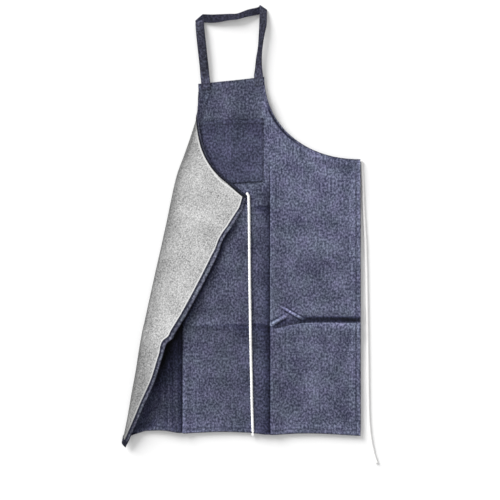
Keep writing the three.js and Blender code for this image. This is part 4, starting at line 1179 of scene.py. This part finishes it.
# Bib pocket: a plain patch of darker denim, hemmed along its mouth, with its other three edges turned
# under and sewn to the front of the bib and waist.
POCKET_TOP = 0.1037
POCKET_FOOT = -0.0614
POCKET_FOOT_TILT = 0.06
POCKET_COLUMNS, POCKET_ROWS = 72, 72
POCKET_HEM = 0.013
POCKET_HEM_RISE, POCKET_HEM_FALLS = 0.0007, (POCKET_HEM - 0.001, POCKET_HEM + 0.002)
MOUTH_LIFT, MOUTH_REACH = 0.0012, 0.06
# The mouth's darkness is a painted shadow, and the foot's is painted shade.
MOUTH_PAINTED_SHADOW, POCKET_FOOT_PAINTED_SHADE, POCKET_SIDE_DARKNESS, MOUTH_SEAM = 0.5, 0.9, 0.1, 0.15
POCKET_SEAM, MOUTH_SEAM_INSET = 0.003, 0.001
POCKET_SEAM_POINTS = 60
POCKET_DARK, POCKET_PALE = (0.022, 0.023, 0.048), (0.145, 0.152, 0.247)


def sewn_pocket(u, v):
    """In a shader, how dark the pocket's edges and its sewn lines are, with a painted shadow in its mouth and
    painted shade along its foot.
    """
    below_top = POCKET_TOP - v
    above_foot = v - POCKET_FOOT - POCKET_FOOT_TILT * u
    inside = POCKET_HALF_WIDTH - u.math("ABSOLUTE", u)
    dark = MOUTH_SEAM * below_top.near(POCKET_HEM - STITCH_INSET, SEAM_WIDTH)
    edges = ((below_top, MOUTH_PAINTED_SHADOW), (above_foot, POCKET_FOOT_PAINTED_SHADE), (inside, POCKET_SIDE_DARKNESS))
    for distance, darkness in edges:
        dark = dark.either(darkness * distance.near(0, EDGE_WIDTH))
    return dark


pocket_look = denim("denim_pocket", POCKET_DARK, POCKET_PALE, sewn_pocket)


def pocket_place(across, down):
    """A place of the cut under the pocket, from shares of its width and of its height."""
    u = POCKET_HALF_WIDTH * (2 * across - 1)
    foot = POCKET_FOOT + POCKET_FOOT_TILT * u
    return u, POCKET_TOP + (foot - POCKET_TOP) * down


def pocket_lift(u, v):
    """How far the pocket's underside is off the reverse of the panel, and how thick its hem makes it."""
    below_top = POCKET_TOP - v
    hem = POCKET_HEM_RISE * (1 - ease(*POCKET_HEM_FALLS, below_top))
    slack = (1 - (u / POCKET_HALF_WIDTH) ** 2) * (1 - ease(0, MOUTH_REACH, below_top))
    return CLOTH + SEAM_GAP + MOUTH_LIFT * slack, hem


across, down = np.meshgrid(np.linspace(0, 1, POCKET_COLUMNS), np.linspace(0, 1, POCKET_ROWS))
pocket_u, pocket_v = pocket_place(across, down)
under, hem = pocket_lift(pocket_u, pocket_v)
pocket_face = cloth_point(pocket_u, pocket_v, under + CLOTH + hem)
pocket_reverse = cloth_point(pocket_u, pocket_v, under)
pocket_cut = np.stack([pocket_u, pocket_v], axis=-1)
pocket = sheet_mesh("patch_pocket", pocket_face, pocket_reverse, pocket_cut, [pocket_look])
set_tone_and_painted_shade(pocket, 1.0)
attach(pocket, "root")
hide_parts("bib_pocket")

inset = POCKET_SEAM / (2 * POCKET_HALF_WIDTH)
whole = np.ones(POCKET_SEAM_POINTS)
run = np.linspace(0, 1 - inset, POCKET_SEAM_POINTS)
foot_run = np.linspace(inset, 1 - inset, POCKET_SEAM_POINTS)
mouth_run = np.linspace(-1, 1, POCKET_SEAM_POINTS) * (POCKET_HALF_WIDTH - MOUTH_SEAM_INSET)
seams = [
    pocket_place(whole * inset, run),
    pocket_place(foot_run, whole * (1 - inset)),
    pocket_place(whole * (1 - inset), run),
    (mouth_run, whole * (POCKET_TOP - POCKET_HEM + STITCH_INSET)),
]
pocket_lines = []
for u, v in seams:
    under, hem = pocket_lift(u, v)
    pocket_lines.append(cloth_point(u, v, under + CLOTH + hem + STITCH_STANDS))
pocket_stitches = add_stitches("pocket_stitches", pocket_lines)


# Neck strap: one length of dark slate cotton tape, folded over on itself at two corners to make a loop.
# Both of its ends are sewn to the front of the bib, just below its top edge. Each row of its tables is a
# point on one edge of the tape and the point across from it on the other edge.
STRAP_THICKNESS = 0.0016
STRAP_TURN = 0.0012
ON_BIB = HEM_LIFT + CLOTH + SEAM_GAP + STRAP_THICKNESS / 2 + LAY_GAP
ON_TABLE = STRAP_THICKNESS / 2 + LAY_GAP / 2
STRAP_ARCHES = (0.011, 0.002, 0.003)
STRAP_CELLS = 10
STRAP_STEP = 0.003
STRAP_SEWN_ROWS = (1, -2)
STRAP_EDGE_THINNING, STRAP_EDGE_POWER = 0.55, 6
STRAP_END_THICKNESS = (0.4, (0, 0.02))
TAPE_EDGE_DARKNESS = 0.4
STRAP_LEFT_LEG = [
    (-0.0766, 0.1795, ON_BIB, -0.0534, 0.1818, ON_BIB),
    (-0.0774, 0.2, ON_BIB, -0.0542, 0.2025, ON_BIB),
    (-0.0787, 0.213, 0.003, -0.0555, 0.2154, 0.003),
    (-0.081, 0.241, ON_TABLE, -0.058, 0.241, ON_TABLE),
    (-0.0876, 0.3008, ON_TABLE, -0.0645, 0.3008, ON_TABLE),
    (-0.0914, 0.3405, 0.004, -0.0689, 0.3405, 0.005),
]
STRAP_CROSS = [
    (-0.0464, 0.3532, 0.006, -0.0464, 0.3752, 0.003),
    (-0.0026, 0.3588, 0.01, -0.0026, 0.3768, 0.0025),
    (0.0155, 0.3606, 0.011, 0.0155, 0.3776, 0.0025),
    (0.0439, 0.3685, 0.009, 0.0439, 0.388, 0.002),
    (0.071, 0.3755, 0.003, 0.0697, 0.3945, 0.0012),
]
STRAP_RIGHT_LEG = [
    (0.0926, 0.3688, 0.0075, 0.0735, 0.3711, 0.0085),
    (0.0921, 0.3478, 0.0095, 0.0728, 0.3478, 0.0075),
    (0.0867, 0.3218, 0.0105, 0.0715, 0.3218, 0.0075),
    (0.0815, 0.2888, 0.0105, 0.0692, 0.2888, 0.006),
    (0.0795, 0.262, 0.0105, 0.0645, 0.26, 0.0055),
    (0.0802, 0.236, 0.01, 0.0619, 0.236, 0.0065),
]
STRAP_RIGHT_END = [
    (0.0823, 0.218, 0.0594, 0.216),
    (0.0828, 0.206, 0.06, 0.204),
    (0.0839, 0.192, 0.0609, 0.19),
]
LEFT_FOLD = {"a": (-0.0921, 0.3578), "b": (-0.0712, 0.376), "out": (-0.68, 0.73)}
RIGHT_FOLD = {"a": (0.0929, 0.3858), "b": (0.0738, 0.399), "out": (0.57, 0.82)}
# Tones along each run of the tape: painted shade on the folds, the cross piece and the right leg, and paler
# towards the two sewn ends.
STRAP_TONE_AND_PAINTED_SHADE = (
    ((0, 0.12, 0.25, 1), (1.9, 1.7, 1.05, 1.0)),
    ((0, 1), (0.8, 0.8)),
    ((0, 0.15, 0.5, 0.85, 1), (0.4, 0.55, 0.55, 0.4, 0.2)),
    ((0, 1), (0.6, 0.6)),
    ((0, 0.2, 0.5, 0.75, 0.87, 1), (0.95, 0.7, 0.52, 0.72, 1.7, 1.9)),
)
STRAP_DARK, STRAP_PALE = (0.013, 0.012, 0.022), (0.108, 0.11, 0.168)


def strap_fold(fold):
    """The rows of a diagonal fold: below, at the turn and above."""
    rows = []
    for level in range(3):
        out = STRAP_TURN * np.array(fold["out"]) * (level == 1)
        z = ON_TABLE + level * STRAP_TURN
        rows.append((*(fold["a"] + out), z, *(fold["b"] + out), z))
    return rows


right_end = [
    (x0, y0, ON_BIB + corner_lift(x0, y0), x1, y1, ON_BIB + corner_lift(x1, y1))
    for x0, y0, x1, y1 in STRAP_RIGHT_END
]
left_fold, right_fold = strap_fold(LEFT_FOLD), strap_fold(RIGHT_FOLD)
runs = [
    smooth_path([*STRAP_LEFT_LEG, left_fold[0]], STRAP_STEP)[0],
    np.array(left_fold[1:2]),
    smooth_path([left_fold[2], *STRAP_CROSS, right_fold[0]], STRAP_STEP)[0],
    np.array(right_fold[1:2]),
    smooth_path([right_fold[2], *STRAP_RIGHT_LEG, *right_end], STRAP_STEP)[0],
]
for run, arch in zip(runs[::2], STRAP_ARCHES):
    run[:, [2, 5]] += arch * np.sin(math.pi * np.linspace(0, 1, len(run)))[:, None]
strap_rows = np.concatenate(runs)
edge_a, edge_b = strap_rows[:, :3], strap_rows[:, 3:]
middles = (edge_a + edge_b) / 2
ahead = middles[np.minimum(np.arange(len(middles)) + 1, len(middles) - 1)]
behind = middles[np.maximum(np.arange(len(middles)) - 1, 0)]
strap_normals = np.cross(edge_b - edge_a, ahead - behind)
strap_normals /= np.linalg.norm(strap_normals, axis=1, keepdims=True)
strap_along = np.concatenate([[0], np.cumsum(np.linalg.norm(np.diff(middles, axis=0), axis=1))])
strap_share = np.linspace(0, 1, STRAP_CELLS + 1)
strap_width = float(np.linalg.norm(edge_b - edge_a, axis=1).mean())


def strap_point(share, offset):
    """Points across the tape on each of its rows, at a distance from its middle layer."""
    centre = edge_a[:, None] * (1 - share)[:, None] + edge_b[:, None] * share[:, None]
    return centre + np.asarray(offset)[..., None] * strap_normals[:, None]


def tape_edges(u, v):
    """In a shader, how dark the two edges of the tape are."""
    return TAPE_EDGE_DARKNESS * u.near(0, EDGE_WIDTH).either(u.near(strap_width, EDGE_WIDTH))


strap_look = denim("slate_tape", STRAP_DARK, STRAP_PALE, tape_edges)

from_end = np.minimum(strap_along, strap_along[-1] - strap_along)[:, None]
edge_thinning = 1 - STRAP_EDGE_THINNING * np.abs(2 * strap_share - 1) ** STRAP_EDGE_POWER
half_thick = STRAP_THICKNESS / 2 * edge_thinning * grown(*STRAP_END_THICKNESS, from_end)
strap_face, strap_reverse = strap_point(strap_share, half_thick), strap_point(strap_share, -half_thick)
strap_cut = np.stack(np.broadcast_arrays(strap_share * strap_width, strap_along[:, None]), axis=-1)
strap = sheet_mesh("neck_tape", strap_face, strap_reverse, strap_cut, [strap_look])
run_tones_and_shades = [np.interp(np.linspace(0, 1, len(run)), *tones) for run, tones in zip(runs, STRAP_TONE_AND_PAINTED_SHADE)]
set_tone_and_painted_shade(strap, np.tile(np.repeat(np.concatenate(run_tones_and_shades), STRAP_CELLS + 1), 2))
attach(strap, "root")
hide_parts("neck_strap")

sewn_share = strap_share[1:-1]
strap_top = strap_point(sewn_share, np.full(len(sewn_share), STRAP_THICKNESS / 2 + STITCH_STANDS))
strap_lines = [strap_top[row] for row in STRAP_SEWN_ROWS]
strap_stitches = add_stitches("strap_stitches", strap_lines)
